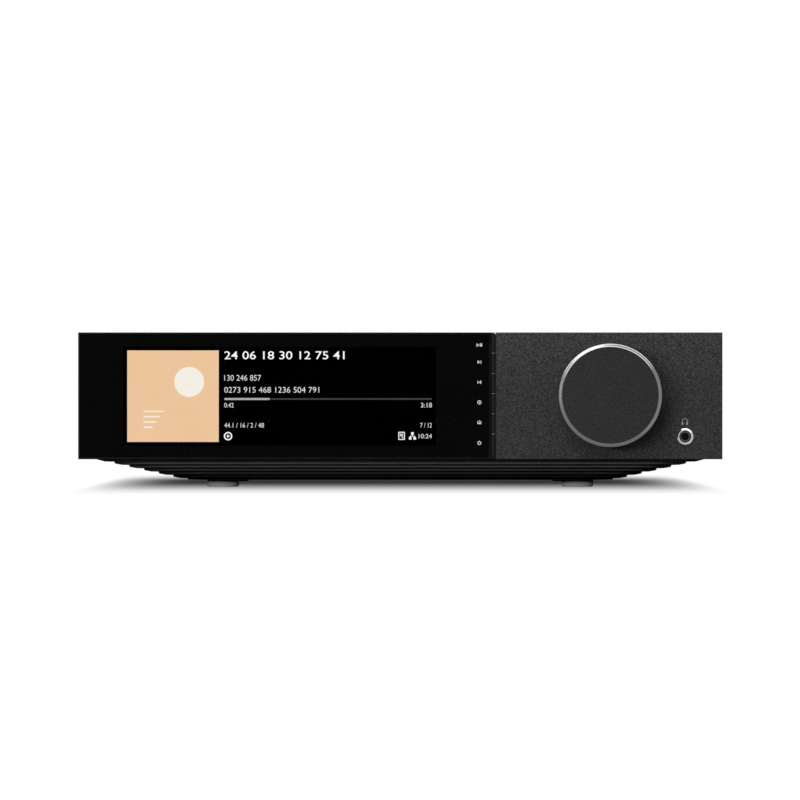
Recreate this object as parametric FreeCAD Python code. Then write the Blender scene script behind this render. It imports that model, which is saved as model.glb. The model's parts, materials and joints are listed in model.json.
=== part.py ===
import FreeCAD, Part
import math
import os

# Streaming amplifier, in millimetres. +Z is up and the front faces -Y.
# The origin is on the floor, under the middle of the whole object.

os.makedirs("parts", exist_ok=True)
Vec = FreeCAD.Vector

# Body
body_width = 317.0
front_depth = 12.0
chassis_depth = 298.0
lid_drop = 2.1
lid_sheet = 1.5
pan_sheet = 1.2
rear_sheet = 1.5
side_thick = 7.0
subframe_thick = 2.5
edge_break = 0.3
slip = 0.1
loose = 0.3
lead_in = 0.4

# Stepped base, from the first tier down to the floor plate
first_inset = 6.4
first_height = 1.4
first_slope = 5.1
first_shelf = 9.45
tier_count = 5
tier_height = 1.76
tier_run = 7.03
tier_band = 0.82
tier_edge = 0.38
tier_edge_run = 0.5
tier_slope = 3.5
plinth_plate = 0.8
plan_radius = 20.0
foot_radius = 8.0
foot_gap = 3.6
foot_inset = 18.0
foot_to_screw = 32.0

# Glass, its frame and the display
frame_lip = 0.75
glass_thick = 2.0
glass_recess = 0.2
print_gap = 0.02
mask_thick = 0.3
frame_ledge = 2.5
frame_wall = 2.5
lcd_width = 154.2
lcd_height = 48.5
lcd_from_left = 21.94
lcd_from_right = 26.96
lcd_from_top = 7.15
lcd_from_bottom = 6.75
lcd_border = 3.0
lcd_thick = 3.5
carrier_wall = 1.5
carrier_back = 1.2
board_thick = 1.6
driver_chip = 13.0
driver_count = 3

# Six buttons in one column
button_count = 6
last_button_extra = 2.7
button_width = 1.9
button_side_gap = 0.1
button_gap = 0.16
button_travel = 0.5
cap_depth = 6.0
stem_width = 1.3
stem_height = 3.0
barb_height = 4.2
barb_thick = 0.9
first_stem_drop = 1.2
groove_width = 0.5
groove_depth = 1.5
groove_notch = 0.8
guide_width = 7.5
guide_clear = 0.3
switch_size = 4.4
switch_depth = 3.0
plunger_radius = 1.2
plunger_length = 1.2
button_board_width = 16.0
boss_radius = 2.2

# Control panel, knob and source ring
panel_thick = 3.0
panel_wall = 2.5
knob_lift = 0.2
knob_shift = 0.37
knob_radius = 25.2
knob_depth = 12.2
face_recess = 0.2
trim_width = 1.6
trim_land = 0.15
trim_facet = 0.4
trim_slope = 0.28
trim_depth = 11.0
knob_hub_radius = 6.0
knob_skin = 2.6
knob_web = 5.0
ring_depth = 8.5
ring_web = 2.5
ring_rim = 3.0
ring_gap = 0.5
ring_from_panel = 0.8
shaft_radius = 3.0
shaft_flat = 1.0
tube_wall = 1.4
bush_wall = 1.5
run_clear = 0.05
encoder_width = 17.0
encoder_depth = 14.0
nut_thick = 2.0
nut_flats = 15.0

# Headphone socket
phones_from_right = 18.4
phones_lift = -20.05
plug_bore = 1.8
phones_nose = 3.0
phones_body = 9.0
phones_depth = 14.0
phones_nut_radius = 4.0
phones_nut_thick = 1.6
phones_nut_bevel = 0.55
phones_lip = 2.45

# Top cover
vent_rows = 3
vent_columns = 18
vent_width = 3.0
vent_length = 30.0
vent_pitch_x = 9.0
vent_pitch_y = 38.0
lid_rail_size = 8.0
lid_rail_short = 14.0
lid_screw_inset = 42.0

# Side panels
flute_count = 10
flute_radius = 3.4
flute_depth = 0.9

# Screws
screw_radius = 1.5
screw_head_radius = 2.8
screw_head_height = 1.6
screw_length = 6.0
rear_lip = 8.0
rear_screw_from_edge = 14.5

# Circuit boards and what they carry
standoff_height = 6.0
standoff_radius = 3.0
standoff_inset = 5.0
board_side_gap = 10.3
board_gap = 7.0
main_board_depth = 118.0
main_chip = 20.0
main_chip_pitch = 28.0
main_chip_count = 3
module_width = 50.0
module_depth = 40.0
module_height = 4.2
module_inset = 10.0
can_margin = 3.0
amp_width = 58.0
amp_depth = 100.0
amp_from_rear = 30.0
transistor_height = 3.0
transistor_size = 14.0
transistor_pitch = 50.0
sink_base = 4.0
sink_height = 30.0
sink_margin = 6.0
fin_count = 9
fin_thick = 1.6
supply_width = 72.0
supply_depth = 180.0
supply_from_rear = 36.0
core_width = 44.0
core_depth = 38.0
core_height = 30.0
winding_width = 26.0
winding_height = 20.0
winding_bulge = 3.0
capacitor_count = 3
capacitor_radius = 9.0
capacitor_round = 1.1
capacitor_height = 36.0
capacitor_pitch = 21.0
ribbon_width = 13.0
ribbon_thick = 0.4
ribbon_drop = 10.0
ribbon_reach = 12.0

# Mains inlet and rocker
inlet_from_side = 44.5
inlet_width = 56.0
inlet_height = 27.0
inlet_flange = 2.0
inlet_bevel = 0.7
inlet_rim = 2.0
inlet_depth = 24.0
socket_shift = -12.5
socket_width = 24.6
socket_height = 17.0
socket_depth = 16.0
socket_corner = 4.25
blade_length = 12.0
blade_thick = 2.0
blade_height = 4.0
blade_pitch = 14.0
earth_drop = 4.0
rocker_shift = 16.0
rocker_width = 13.0
rocker_radius = 9.3
rocker_tilt = 9.0
rocker_front = 3.0
rocker_back = 5.0
rocker_room = 8.1
rocker_sink = 2.4
rocker_pin = 1.2
rocker_pin_length = 1.5

# Speaker terminals
post_pitch_x = 24.0
post_pitch_z = 19.0
post_plate = 2.5
post_margin = 9.0
post_rim = 2.0
stem_radius = 3.5
banana_bore = 2.02
banana_length = 13.6
stem_inside = 12.0
stem_short = 2.0
stem_nut = 5.5
stem_nut_thick = 3.0
washer_radius = 6.0
washer_thick = 1.0
cap_radius = 7.0
cap_length = 16.5
cap_bevel = 0.6
cap_flutes = 12
cap_flute_radius = 1.2

# Sockets on the main board
phono_pitch_x = 15.0
phono_pitch_z = 15.0
phono_radius = 4.15
phono_reach = 9.4
phono_bore = 1.65
phono_bore_from_rear = 0.5
phono_depth = 12.0
phono_gap = 0.4
phono_rim = 1.5
hdmi_width = 15.0
hdmi_height = 5.8
hdmi_depth = 12.0
hdmi_tongue = 1.2
usb_width = 14.4
usb_height = 7.0
usb_depth = 16.0
usb_tongue = 1.8
network_width = 16.0
network_height = 13.6
network_depth = 18.0
latch_width = 5.4
optical_width = 10.0
optical_height = 9.6
optical_depth = 14.0
shell_wall = 0.8
jack_wall = 2.0
socket_reach = 0.6

# Places that follow from the sizes above
half_width = body_width / 2
front_height = lcd_from_bottom + lcd_height + lcd_from_top
button_pitch = (front_height - last_button_extra) / button_count
knob_reach = ring_from_panel + ring_depth + ring_gap + knob_depth
terminal_reach = post_plate + washer_thick + cap_length
total_depth = knob_reach + front_depth + chassis_depth + terminal_reach
front_y = -total_depth / 2 + knob_reach
seam_y = front_y + front_depth
rear_y = seam_y + chassis_depth
plinth_height = first_height + tier_count * tier_height + plinth_plate
plinth_z = foot_gap
body_z = plinth_z + plinth_height
top_z = body_z + front_height
middle_z = body_z + front_height / 2
lid_z = top_z - lid_drop
cavity_z = lid_z - lid_sheet
inner_x = half_width - side_thick
floor_z = body_z + pan_sheet
board_z = floor_z + standoff_height
deck_z = board_z + board_thick
wall_y = rear_y - rear_sheet
frame_right = -half_width + lcd_from_left + lcd_width + lcd_from_right
button_x = frame_right + button_side_gap + button_width / 2
panel_left = button_x + button_width / 2 + groove_width
knob_x = (panel_left + half_width) / 2 - knob_shift
knob_z = middle_z + knob_lift
phones_x = half_width - phones_from_right
phones_z = middle_z + phones_lift
glass_y = front_y + glass_recess
mask_y = glass_y + glass_thick + print_gap
lcd_y = mask_y + mask_thick
carrier_y = lcd_y + lcd_thick
display_board_y = carrier_y + carrier_back
lcd_x = -half_width + lcd_from_left + lcd_width / 2
lcd_z = body_z + lcd_from_bottom + lcd_height / 2
lcd_half_x = lcd_width / 2 + lcd_border
lcd_half_z = lcd_height / 2 + lcd_border
guide_y = front_y + cap_depth + button_travel + guide_clear
barb_y = seam_y + slip
plunger_y = barb_y + barb_thick + button_travel + slip
switch_y = plunger_y + plunger_length
button_board_y = switch_y + switch_depth
guide_top = cavity_z - loose
guide_bottom = floor_z + loose
tube_radius = shaft_radius + run_clear + tube_wall
bush_radius = tube_radius + run_clear + bush_wall
encoder_y = front_y + panel_thick
board_side = inner_x - pan_sheet - board_side_gap
supply_left = -board_side
amp_left = supply_left + supply_width + board_gap
main_board_left = amp_left + amp_width + board_gap
inlet_x = -half_width + inlet_from_side
post_x = amp_left + amp_width / 2
phono_width = 2 * phono_pitch_x - phono_gap
row_widths = [phono_width, hdmi_width, usb_width, network_width, optical_width]
row_gap = (board_side - main_board_left - sum(row_widths)) / (len(row_widths) + 1)
row_places = []
row_edge = main_board_left
for width in row_widths:
    row_places.append(row_edge + row_gap + width / 2)
    row_edge += row_gap + width
phono_x, hdmi_x, usb_x, network_x, optical_x = row_places


def box(x0, x1, y0, y1, z0, z1):
    return Part.makeBox(x1 - x0, y1 - y0, z1 - z0, Vec(x0, y0, z0))


def tunnel(x, z, half_x, half_z, y0, y1):
    """Block centred on a line along Y."""
    return box(x - half_x, x + half_x, y0, y1, z - half_z, z + half_z)


def rod_y(x, z, radius, y0, y1):
    return Part.makeCylinder(radius, y1 - y0, Vec(x, y0, z), Vec(0, 1, 0))


def rod_z(x, y, radius, z0, z1):
    return Part.makeCylinder(radius, z1 - z0, Vec(x, y, z0), Vec(0, 0, 1))


def bore_y(x, z, radius, mouth, floor):
    """Tool for a round hole along Y with a short cone as its lead-in."""
    side = math.copysign(1, floor - mouth)
    outline = [
        (0, mouth), (radius + lead_in, mouth), (radius, mouth + side * lead_in), (radius, floor), (0, floor),
    ]
    return turned_y(x, z, outline)


def turned_y(x, z, outline):
    """A solid of revolution about a line along Y; the outline holds (radius, y) points."""
    points = [Vec(x + radius, y, z) for radius, y in outline]
    face = Part.Face(Part.makePolygon(points + points[:1]))
    return face.revolve(Vec(x, 0, z), Vec(0, 1, 0), 360)


def front_chamfered(shape, size):
    """Breaks the edges that lie in the shape's front plane."""
    front = shape.BoundBox.YMin
    edges = [edge for edge in shape.Edges if abs(edge.BoundBox.YMax - front) < 1e-4]
    return shape.makeChamfer(size, edges)


def rounded_outline(inset, radius, z):
    """Rounded rectangle that lies inside the body's footprint by the inset."""
    x = half_width - inset
    y0 = front_y + inset
    y1 = rear_y - inset
    c = radius * (1 - math.sqrt(0.5))
    corners = [(x, y0, -1, 1), (x, y1, -1, -1), (-x, y1, 1, -1), (-x, y0, 1, 1)]
    edges = []
    last = None
    first = None
    for index, (cx, cy, sx, sy) in enumerate(corners):
        along_y = Vec(cx, cy + sy * radius, z)
        along_x = Vec(cx + sx * radius, cy, z)
        middle = Vec(cx + sx * c, cy + sy * c, z)
        start, end = (along_x, along_y) if index % 2 == 0 else (along_y, along_x)
        if last is not None:
            edges.append(Part.LineSegment(last, start).toShape())
        else:
            first = start
        edges.append(Part.Arc(start, middle, end).toShape())
        last = end
    edges.append(Part.LineSegment(last, first).toShape())
    return Part.Wire(edges)


def slab(inset, radius, z0, z1):
    return Part.Face(rounded_outline(inset, radius, z0)).extrude(Vec(0, 0, z1 - z0))


def undercut(inset, run, radius, z_top, z_low):
    """Sloping underside of a tier: the outline draws in by the run towards its lower face."""
    upper = rounded_outline(inset, radius, z_top)
    lower = rounded_outline(inset + run, radius - run, z_low)
    return Part.makeLoft([upper, lower], True, True)


def tier_inset(level):
    if level == 0:
        return first_inset
    return first_inset + first_shelf + (level - 1) * tier_run


def tier_top(level):
    if level == 0:
        return body_z
    return body_z - first_height - (level - 1) * tier_height


def stepped_base():
    """Plinth of stacked plates, steep at the edge and flat below, that step inwards to the floor."""
    plates = [undercut(first_inset, first_slope, plan_radius, body_z, tier_top(1))]
    slope_run = tier_slope - tier_edge_run
    slope_radius = plan_radius - tier_edge_run
    for level in range(1, tier_count + 1):
        inset = tier_inset(level)
        band_low = tier_top(level) - tier_band
        edge_low = band_low - tier_edge
        band = slab(inset, plan_radius, band_low, tier_top(level))
        edge = undercut(inset, tier_edge_run, plan_radius, band_low, edge_low)
        slope = undercut(inset + tier_edge_run, slope_run, slope_radius, edge_low, tier_top(level + 1))
        plates.append(band.fuse([edge, slope]))
    last = tier_count + 1
    plates.append(slab(tier_inset(last), plan_radius, plinth_z, tier_top(last)))
    head_z = base_screw_head_z()
    holes = []
    for x, y in base_screw_places():
        holes.append(rod_z(x, y, screw_radius + slip, head_z, body_z))
        holes.append(rod_z(x, y, screw_head_radius + loose, plinth_z, head_z))
    holes += [rod_z(x, y, foot_radius + slip, plinth_z, plinth_z + plinth_plate) for x, y in foot_places()]
    return Part.makeCompound([plate.cut(holes) for plate in plates])


def foot_places():
    x = half_width - tier_inset(tier_count + 1) - foot_inset
    reach = tier_inset(tier_count + 1) + foot_inset
    return [(sx * x, y) for sx in (-1, 1) for y in (front_y + reach, rear_y - reach)]


def base_screw_places():
    """Four screws between the feet hold the plinth to the chassis pan."""
    return [(x - math.copysign(foot_to_screw, x), y) for x, y in foot_places()]


def base_screw_head_z():
    return body_z - screw_length + 2 * pan_sheet


def foot_pads():
    pads = []
    for x, y in foot_places():
        pad = rod_z(x, y, foot_radius, 0, plinth_z + plinth_plate)
        rim = [edge for edge in pad.Edges if abs(edge.BoundBox.ZMax) < 1e-4]
        pads.append(pad.makeChamfer(edge_break * 2, rim))
    return Part.makeCompound(pads)


def chassis_pan():
    """Folded sheet: a floor, two side walls and a lip at each rear corner."""
    shape = box(-inner_x, inner_x, seam_y, wall_y, body_z, cavity_z)
    shape = shape.cut(box(-inner_x + pan_sheet, inner_x - pan_sheet, seam_y, wall_y, floor_z, cavity_z))
    for side in (-1, 1):
        outer = side * inner_x
        inner = side * (inner_x - pan_sheet - rear_lip)
        lip = box(min(outer, inner), max(outer, inner), wall_y - pan_sheet, wall_y, body_z, cavity_z)
        shape = shape.fuse(lip)
    for x, z in rear_screw_places():
        shape = shape.cut(rod_y(x, z, screw_radius + run_clear, wall_y - pan_sheet, wall_y))
    for x, y in base_screw_places():
        shape = shape.cut(rod_z(x, y, screw_radius + run_clear, body_z, floor_z))
    return shape.removeSplitter()


def rear_screw_places():
    """Two screws in each rear lip of the pan."""
    x = inner_x - pan_sheet - rear_lip / 2
    heights = (body_z + rear_screw_from_edge, top_z - rear_screw_from_edge)
    return [(side * x, z) for side in (-1, 1) for z in heights]


def lid_rail_y():
    return wall_y - lid_rail_size / 2


def lid_screws_x():
    """The rail's screws: one in the middle and one near each end."""
    return [side * (inner_x - lid_screw_inset) for side in (-1, 0, 1)]


def lid_rail():
    """Square bar behind the rear panel's upper edge, for the screws of panel and cover."""
    reach = inner_x - lid_rail_short
    bar = box(-reach, reach, wall_y - lid_rail_size, wall_y, cavity_z - lid_rail_size, cavity_z)
    depth = screw_length - rear_sheet
    holes = []
    for x in lid_screws_x():
        holes.append(rod_y(x, rail_screw_z(), screw_radius + run_clear, wall_y - depth, wall_y))
        top_x = x + lid_rail_size
        holes.append(rod_z(top_x, lid_rail_y(), screw_radius + run_clear, lid_z - screw_length, cavity_z))
    return bar.cut(holes)


def rail_screw_z():
    return cavity_z - lid_rail_size / 2


def case_screws():
    """Round-headed screws in the rear panel, flush ones in the cover and four through the plinth."""
    screws = []
    for x, z in rear_panel_screws():
        shank = rod_y(x, z, screw_radius, rear_y - screw_length, rear_y + screw_head_height / 2)
        head = rod_y(x, z, screw_head_radius, rear_y, rear_y + screw_head_height)
        rim = [edge for edge in head.Edges if abs(edge.BoundBox.YMin - head.BoundBox.YMax) < 1e-4]
        head = head.makeFillet(screw_head_height / 2, rim)
        drive = rod_y(x, z, screw_radius / 2, rear_y + screw_head_height / 2, rear_y + screw_head_height)
        screws.append(shank.fuse(head).cut(drive))
    for x in lid_screws_x():
        screws.append(flush_screw(x + lid_rail_size, lid_rail_y()))
    for x, y in base_screw_places():
        head_top = base_screw_head_z()
        shank = rod_z(x, y, screw_radius, head_top, floor_z + pan_sheet)
        head = rod_z(x, y, screw_head_radius, head_top - screw_head_height, head_top)
        screws.append(shank.fuse(head))
    return Part.makeCompound(screws)


def rear_panel_screws():
    return rear_screw_places() + [(x, rail_screw_z()) for x in lid_screws_x()]


def countersink(x, y, extra):
    """Cone of a flush screw head in the cover, grown all round by the extra."""
    return Part.makeCone(screw_radius + extra, screw_head_radius + extra, lid_sheet, Vec(x, y, cavity_z))


def flush_screw(x, y):
    shank = rod_z(x, y, screw_radius, lid_z - screw_length, cavity_z)
    drive = rod_z(x, y, screw_radius / 2, lid_z - lid_sheet / 2, lid_z)
    return shank.fuse(countersink(x, y, 0)).cut(drive)


def side_panel(side):
    """Side panel with long rounded flutes on its outer face."""
    x0, x1 = (inner_x, half_width) if side > 0 else (-half_width, -inner_x)
    shape = box(x0, x1, seam_y, rear_y, body_z, cavity_z)
    pitch = (cavity_z - body_z) / flute_count
    x = side * (half_width + flute_radius - flute_depth)
    heights = [body_z + (index + 0.5) * pitch for index in range(flute_count)]
    return shape.cut([rod_y(x, z, flute_radius, seam_y, rear_y) for z in heights])


def top_cover():
    """Sheet lid with rows of vent slots, screwed down along its rear edge."""
    shape = box(-half_width, half_width, seam_y, rear_y, cavity_z, lid_z)
    upper = [edge for edge in shape.Edges if abs(edge.BoundBox.ZMin - lid_z) < 1e-4]
    front = min(edge.BoundBox.YMax for edge in upper)
    shape = shape.makeChamfer(edge_break * 2, [edge for edge in upper if edge.BoundBox.YMax > front])
    centre_y = (seam_y + rear_y) / 2
    holes = [countersink(x + lid_rail_size, lid_rail_y(), run_clear) for x in lid_screws_x()]
    for row in range(vent_rows):
        y = centre_y + (row - (vent_rows - 1) / 2) * vent_pitch_y
        for column in range(vent_columns):
            holes.append(vent_slot((column - (vent_columns - 1) / 2) * vent_pitch_x, y))
    return shape.cut(holes)


def vent_slot(x, y):
    """Slot with round ends, through the lid's sheet."""
    r = vent_width / 2
    y0 = y - vent_length / 2 + r
    y1 = y + vent_length / 2 - r
    edges = [
        Part.LineSegment(Vec(x - r, y1, cavity_z), Vec(x - r, y0, cavity_z)).toShape(),
        Part.Arc(Vec(x - r, y0, cavity_z), Vec(x, y0 - r, cavity_z), Vec(x + r, y0, cavity_z)).toShape(),
        Part.LineSegment(Vec(x + r, y0, cavity_z), Vec(x + r, y1, cavity_z)).toShape(),
        Part.Arc(Vec(x + r, y1, cavity_z), Vec(x, y1 + r, cavity_z), Vec(x - r, y1, cavity_z)).toShape(),
    ]
    return Part.Face(Part.Wire(edges)).extrude(Vec(0, 0, lid_sheet))


def rear_panel():
    """Flat sheet with an opening for each socket."""
    shape = box(-inner_x, inner_x, wall_y, rear_y, body_z, cavity_z)
    holes = [rod_y(x, z, screw_radius + slip, wall_y, rear_y) for x, z in rear_panel_screws()]
    half_x = inlet_width / 2 - inlet_rim + slip
    half_z = inlet_height / 2 - inlet_rim + slip
    holes.append(window(inlet_x, middle_z, half_x, half_z))
    half_x, half_z = post_plug_half()
    holes.append(window(post_x, middle_z, half_x + slip, half_z + slip))
    half_x = (phono_pitch_x + 2 * phono_radius) / 2 + phono_rim
    half_z = (phono_pitch_z + 2 * phono_radius) / 2 + phono_rim
    low_row, high_row = phono_heights()
    holes.append(window(phono_x, (low_row + high_row) / 2, half_x, half_z))
    for x, width, height in board_sockets():
        holes.append(window(x, deck_z + height / 2, width / 2 + slip, height / 2 + slip))
    return shape.cut(holes)


def window(x, z, half_x, half_z):
    return tunnel(x, z, half_x, half_z, wall_y, rear_y)


def board_sockets():
    return [
        (hdmi_x, hdmi_width, hdmi_height),
        (usb_x, usb_width, usb_height),
        (network_x, network_width, network_height),
        (optical_x, optical_width, optical_height),
    ]


def front_subframe():
    """Cast plate behind the front, with windows and the bosses of the button board."""
    side = inner_x - pan_sheet
    back_y = seam_y + subframe_thick
    shape = box(-side, side, seam_y, back_y, floor_z, cavity_z)
    half_x = lcd_half_x - 2 * carrier_wall
    half_z = lcd_half_z - 2 * carrier_wall
    slot = stem_width / 2 + 2 * loose
    slot_low = button_stem_z(button_count - 1) - barb_height
    encoder_half = encoder_width / 2 + loose
    phones_half = phones_body / 2 + loose
    shape = shape.cut([
        tunnel(lcd_x, lcd_z, half_x, half_z, seam_y, back_y),
        box(button_x - slot, button_x + slot, seam_y, back_y, slot_low, cavity_z),
        tunnel(knob_x, knob_z, encoder_half, encoder_half, seam_y, back_y),
        tunnel(phones_x, phones_z, phones_half, phones_half, seam_y, back_y),
    ])
    return shape.fuse([rod_y(x, z, boss_radius, back_y, button_board_y) for x, z in button_boss_places()])


def button_boss_places():
    x = button_board_width / 2 - boss_radius
    low = guide_bottom + boss_radius
    high = guide_top - boss_radius
    return [(button_x + side * x, z) for side in (-1, 1) for z in (low, high)]


def control_panel():
    """Metal front plate on the right: a rim all round on its back, a rib behind the keys' groove."""
    shape = front_chamfered(box(panel_left, half_width, front_y, seam_y, body_z, top_z), edge_break)
    groove_floor = front_y + groove_depth
    rib_left = panel_left - groove_width + button_side_gap
    shape = shape.fuse(box(rib_left, panel_left, groove_floor, seam_y, body_z, top_z - groove_notch))
    back = front_y + panel_thick
    x0 = panel_left + panel_wall
    x1 = half_width - panel_wall
    shape = shape.cut(box(x0, x1, back, seam_y, body_z + panel_wall, top_z - panel_wall))
    shape = shape.cut(guide_room())
    shape = shape.cut(rod_y(knob_x, knob_z, bush_radius + slip, front_y, back))
    return shape.cut(rod_y(phones_x, phones_z, phones_nose + slip, front_y, back))


def guide_room():
    """Space that the frame and the panel leave for the button guide."""
    half = guide_width / 2 + slip
    low = guide_bottom - slip
    return box(button_x - half, button_x + half, guide_y - slip, seam_y, low, guide_top + slip)


def glass_frame():
    """Metal tray on the left that holds the glass in a thin lip."""
    shape = front_chamfered(box(-half_width, frame_right, front_y, seam_y, body_z, top_z), edge_break)
    x0 = -half_width + frame_lip
    x1 = frame_right - frame_lip
    z0 = body_z + frame_lip
    z1 = top_z - frame_lip
    shape = shape.cut(box(x0, x1, front_y, lcd_y, z0, z1))
    half_x = lcd_half_x + carrier_wall + loose
    half_z = lcd_half_z + carrier_wall + loose
    shape = shape.cut(tunnel(lcd_x, lcd_z, half_x, half_z, lcd_y, seam_y))
    ledge_y = lcd_y + frame_ledge
    pocket_z = (body_z + frame_wall, top_z - frame_wall)
    left = (-half_width + frame_wall, lcd_x - half_x - frame_wall)
    right = (lcd_x + half_x + frame_wall, frame_right - frame_wall)
    for low, high in (left, right):
        shape = shape.cut(box(low, high, ledge_y, seam_y, pocket_z[0], pocket_z[1]))
    return shape.cut(guide_room())


def pane(y0, y1):
    """Flat sheet that fits inside the frame's lip."""
    inset = frame_lip + slip
    return box(-half_width + inset, frame_right - inset, y0, y1, body_z + inset, top_z - inset)


def display_mask():
    """Thin dark border behind the glass, with the display's window."""
    return pane(mask_y, lcd_y).cut(tunnel(lcd_x, lcd_z, lcd_width / 2, lcd_height / 2, mask_y, lcd_y))


def lcd_panel():
    return tunnel(lcd_x, lcd_z, lcd_half_x - slip, lcd_half_z - slip, lcd_y, carrier_y)


def display_carrier():
    """Tray that wraps the display from behind and carries its board."""
    half_x = lcd_half_x + carrier_wall
    half_z = lcd_half_z + carrier_wall
    shape = tunnel(lcd_x, lcd_z, half_x, half_z, lcd_y, display_board_y)
    return shape.cut(tunnel(lcd_x, lcd_z, lcd_half_x, lcd_half_z, lcd_y, carrier_y))


def display_board():
    """Board on the carrier's back, with a row of driver chips."""
    y1 = display_board_y + board_thick
    half = driver_chip / 2
    board = tunnel(lcd_x, lcd_z, lcd_half_x - carrier_wall, lcd_half_z - carrier_wall, display_board_y, y1)
    chips = []
    for step in range(driver_count):
        x = lcd_x - 2 * driver_chip * step
        chips.append(tunnel(x, lcd_z + driver_chip, half, half, y1, y1 + board_thick))
    return board.fuse(chips)


def ribbon_x():
    """Left edge of the ribbon, which passes the right end of the subframe's window."""
    return lcd_x + lcd_half_x - 2 * carrier_wall - loose - ribbon_width


def ribbon_cable():
    """Flat cable from the display board, down to the pan's floor and up to the main board."""
    t = ribbon_thick
    start_y = display_board_y + board_thick
    drop_y = seam_y + ribbon_drop
    low = floor_z
    rise_y = main_board_y0() - ribbon_reach
    end_y = main_board_y0() + ribbon_reach
    level = lcd_z - lcd_half_z / 2
    outline = [
        (start_y, level), (drop_y, level), (drop_y, low + t), (rise_y - t, low + t),
        (rise_y - t, deck_z + t), (end_y, deck_z + t), (end_y, deck_z), (rise_y, deck_z), (rise_y, low),
        (drop_y - t, low), (drop_y - t, level - t), (start_y, level - t),
    ]
    points = [Vec(ribbon_x(), y, z) for y, z in outline]
    face = Part.Face(Part.makePolygon(points + points[:1]))
    return face.extrude(Vec(ribbon_width, 0, 0))


def button_stem_z(index):
    drop = first_stem_drop if index == 0 else 0
    return top_z - (index + 0.5) * button_pitch - drop


def button(index):
    """Narrow key: a cap at the front, a stem through the guide and a barb behind it."""
    high = top_z
    if index > 0:
        high = top_z - index * button_pitch - button_gap / 2
    low = body_z + slip
    if index < button_count - 1:
        low = top_z - (index + 1) * button_pitch + button_gap / 2
    half = button_width / 2
    cap = box(button_x - half, button_x + half, front_y, front_y + cap_depth, low, high)
    cap = front_chamfered(cap, edge_break)
    z = button_stem_z(index)
    stem = key_block(z, stem_height, front_y + cap_depth, barb_y + barb_thick)
    return cap.fuse(stem).fuse(key_block(z, barb_height, barb_y, barb_y + barb_thick))


def key_block(z, height, y0, y1):
    return tunnel(button_x, z, stem_width / 2, height / 2, y0, y1)


def button_guide():
    half = guide_width / 2
    shape = box(button_x - half, button_x + half, guide_y, seam_y, guide_bottom, guide_top)
    half_x = stem_width / 2 + slip
    half_z = stem_height / 2 + slip
    heights = [button_stem_z(index) for index in range(button_count)]
    return shape.cut([tunnel(button_x, z, half_x, half_z, guide_y, seam_y) for z in heights])


def button_switches():
    switches = []
    half = switch_size / 2
    for index in range(button_count):
        z = button_stem_z(index)
        body = tunnel(button_x, z, half, half, switch_y, button_board_y)
        switches.append(body.fuse(rod_y(button_x, z, plunger_radius, plunger_y, switch_y)))
    return Part.makeCompound(switches)


def button_board():
    half = button_board_width / 2
    y1 = button_board_y + board_thick
    return box(button_x - half, button_x + half, button_board_y, y1, guide_bottom, guide_top)


def volume_knob():
    """Dial: a flat face and a skirt, hollow behind, with a hub that grips the shaft."""
    back = knob_back_y()
    face_y = back - knob_depth
    step = knob_radius - trim_width
    outline = [
        (0, face_y + face_recess), (step - slip, face_y + face_recess), (step - slip, face_y + trim_depth),
        (knob_radius, face_y + trim_depth), (knob_radius, back), (step - slip - knob_skin, back),
        (step - slip - knob_skin, face_y + knob_web),
        (knob_hub_radius, face_y + knob_web), (knob_hub_radius, back), (0, back),
    ]
    shape = turned_y(knob_x, knob_z, outline)
    return shape.cut(shaft_shape(run_clear, shaft_end_y() - slip, back))


def knob_back_y():
    return front_y - ring_from_panel - ring_depth - ring_gap


def shaft_end_y():
    return knob_back_y() - knob_depth + knob_web


def shaft_shape(extra, y0, y1):
    """Round shaft with one flat; the extra is added all round for its bore."""
    radius = shaft_radius + extra
    shape = rod_y(knob_x, knob_z, radius, y0, y1)
    flat_z = knob_z + shaft_radius - shaft_flat + extra
    return shape.cut(box(knob_x - 2 * radius, knob_x + 2 * radius, y0, y1, flat_z, flat_z + 2 * radius))


def volume_shaft():
    end = encoder_y + encoder_depth - 2 * loose
    flatted = shaft_shape(0, shaft_end_y(), knob_back_y())
    return flatted.fuse(rod_y(knob_x, knob_z, shaft_radius, knob_back_y(), end))


def knob_trim_ring():
    """Bright sleeve round the dial: a steep facet, a flatter one and a steep one at the rim."""
    front = knob_back_y() - knob_depth
    inner = knob_radius - trim_width
    high = inner + trim_land
    waist = high + trim_facet
    rim = knob_radius - trim_facet
    waist_y = front + trim_facet
    rim_y = waist_y + trim_slope
    outline = [
        (inner, front), (high, front), (waist, waist_y), (rim, rim_y), (knob_radius, rim_y + trim_facet),
        (knob_radius, front + trim_depth), (inner, front + trim_depth),
    ]
    return turned_y(knob_x, knob_z, outline)


def source_ring():
    """Ring behind the dial, on a tube that runs in the encoder's bush."""
    front = front_y - ring_from_panel - ring_depth
    back = front_y - ring_from_panel
    tube_end = encoder_y + encoder_depth / 2
    bore = shaft_radius + run_clear
    rim = knob_radius - ring_rim
    outline = [
        (bore, front), (knob_radius, front), (knob_radius, back), (rim, back),
        (rim, front + ring_web), (tube_radius, front + ring_web), (tube_radius, tube_end), (bore, tube_end),
    ]
    return turned_y(knob_x, knob_z, outline)


def encoder_body():
    """Twin encoder: a box behind the panel and a threaded bush through it."""
    half = encoder_width / 2
    back = encoder_y + encoder_depth
    shape = tunnel(knob_x, knob_z, half, half, encoder_y, back)
    bush_y = front_y - nut_thick - loose
    shape = shape.fuse(rod_y(knob_x, knob_z, bush_radius, bush_y, encoder_y))
    tube_y = encoder_y + encoder_depth / 2 + loose
    shape = shape.cut(rod_y(knob_x, knob_z, tube_radius + run_clear, bush_y, tube_y))
    return shape.cut(rod_y(knob_x, knob_z, shaft_radius + run_clear, bush_y, back - loose))


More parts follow.
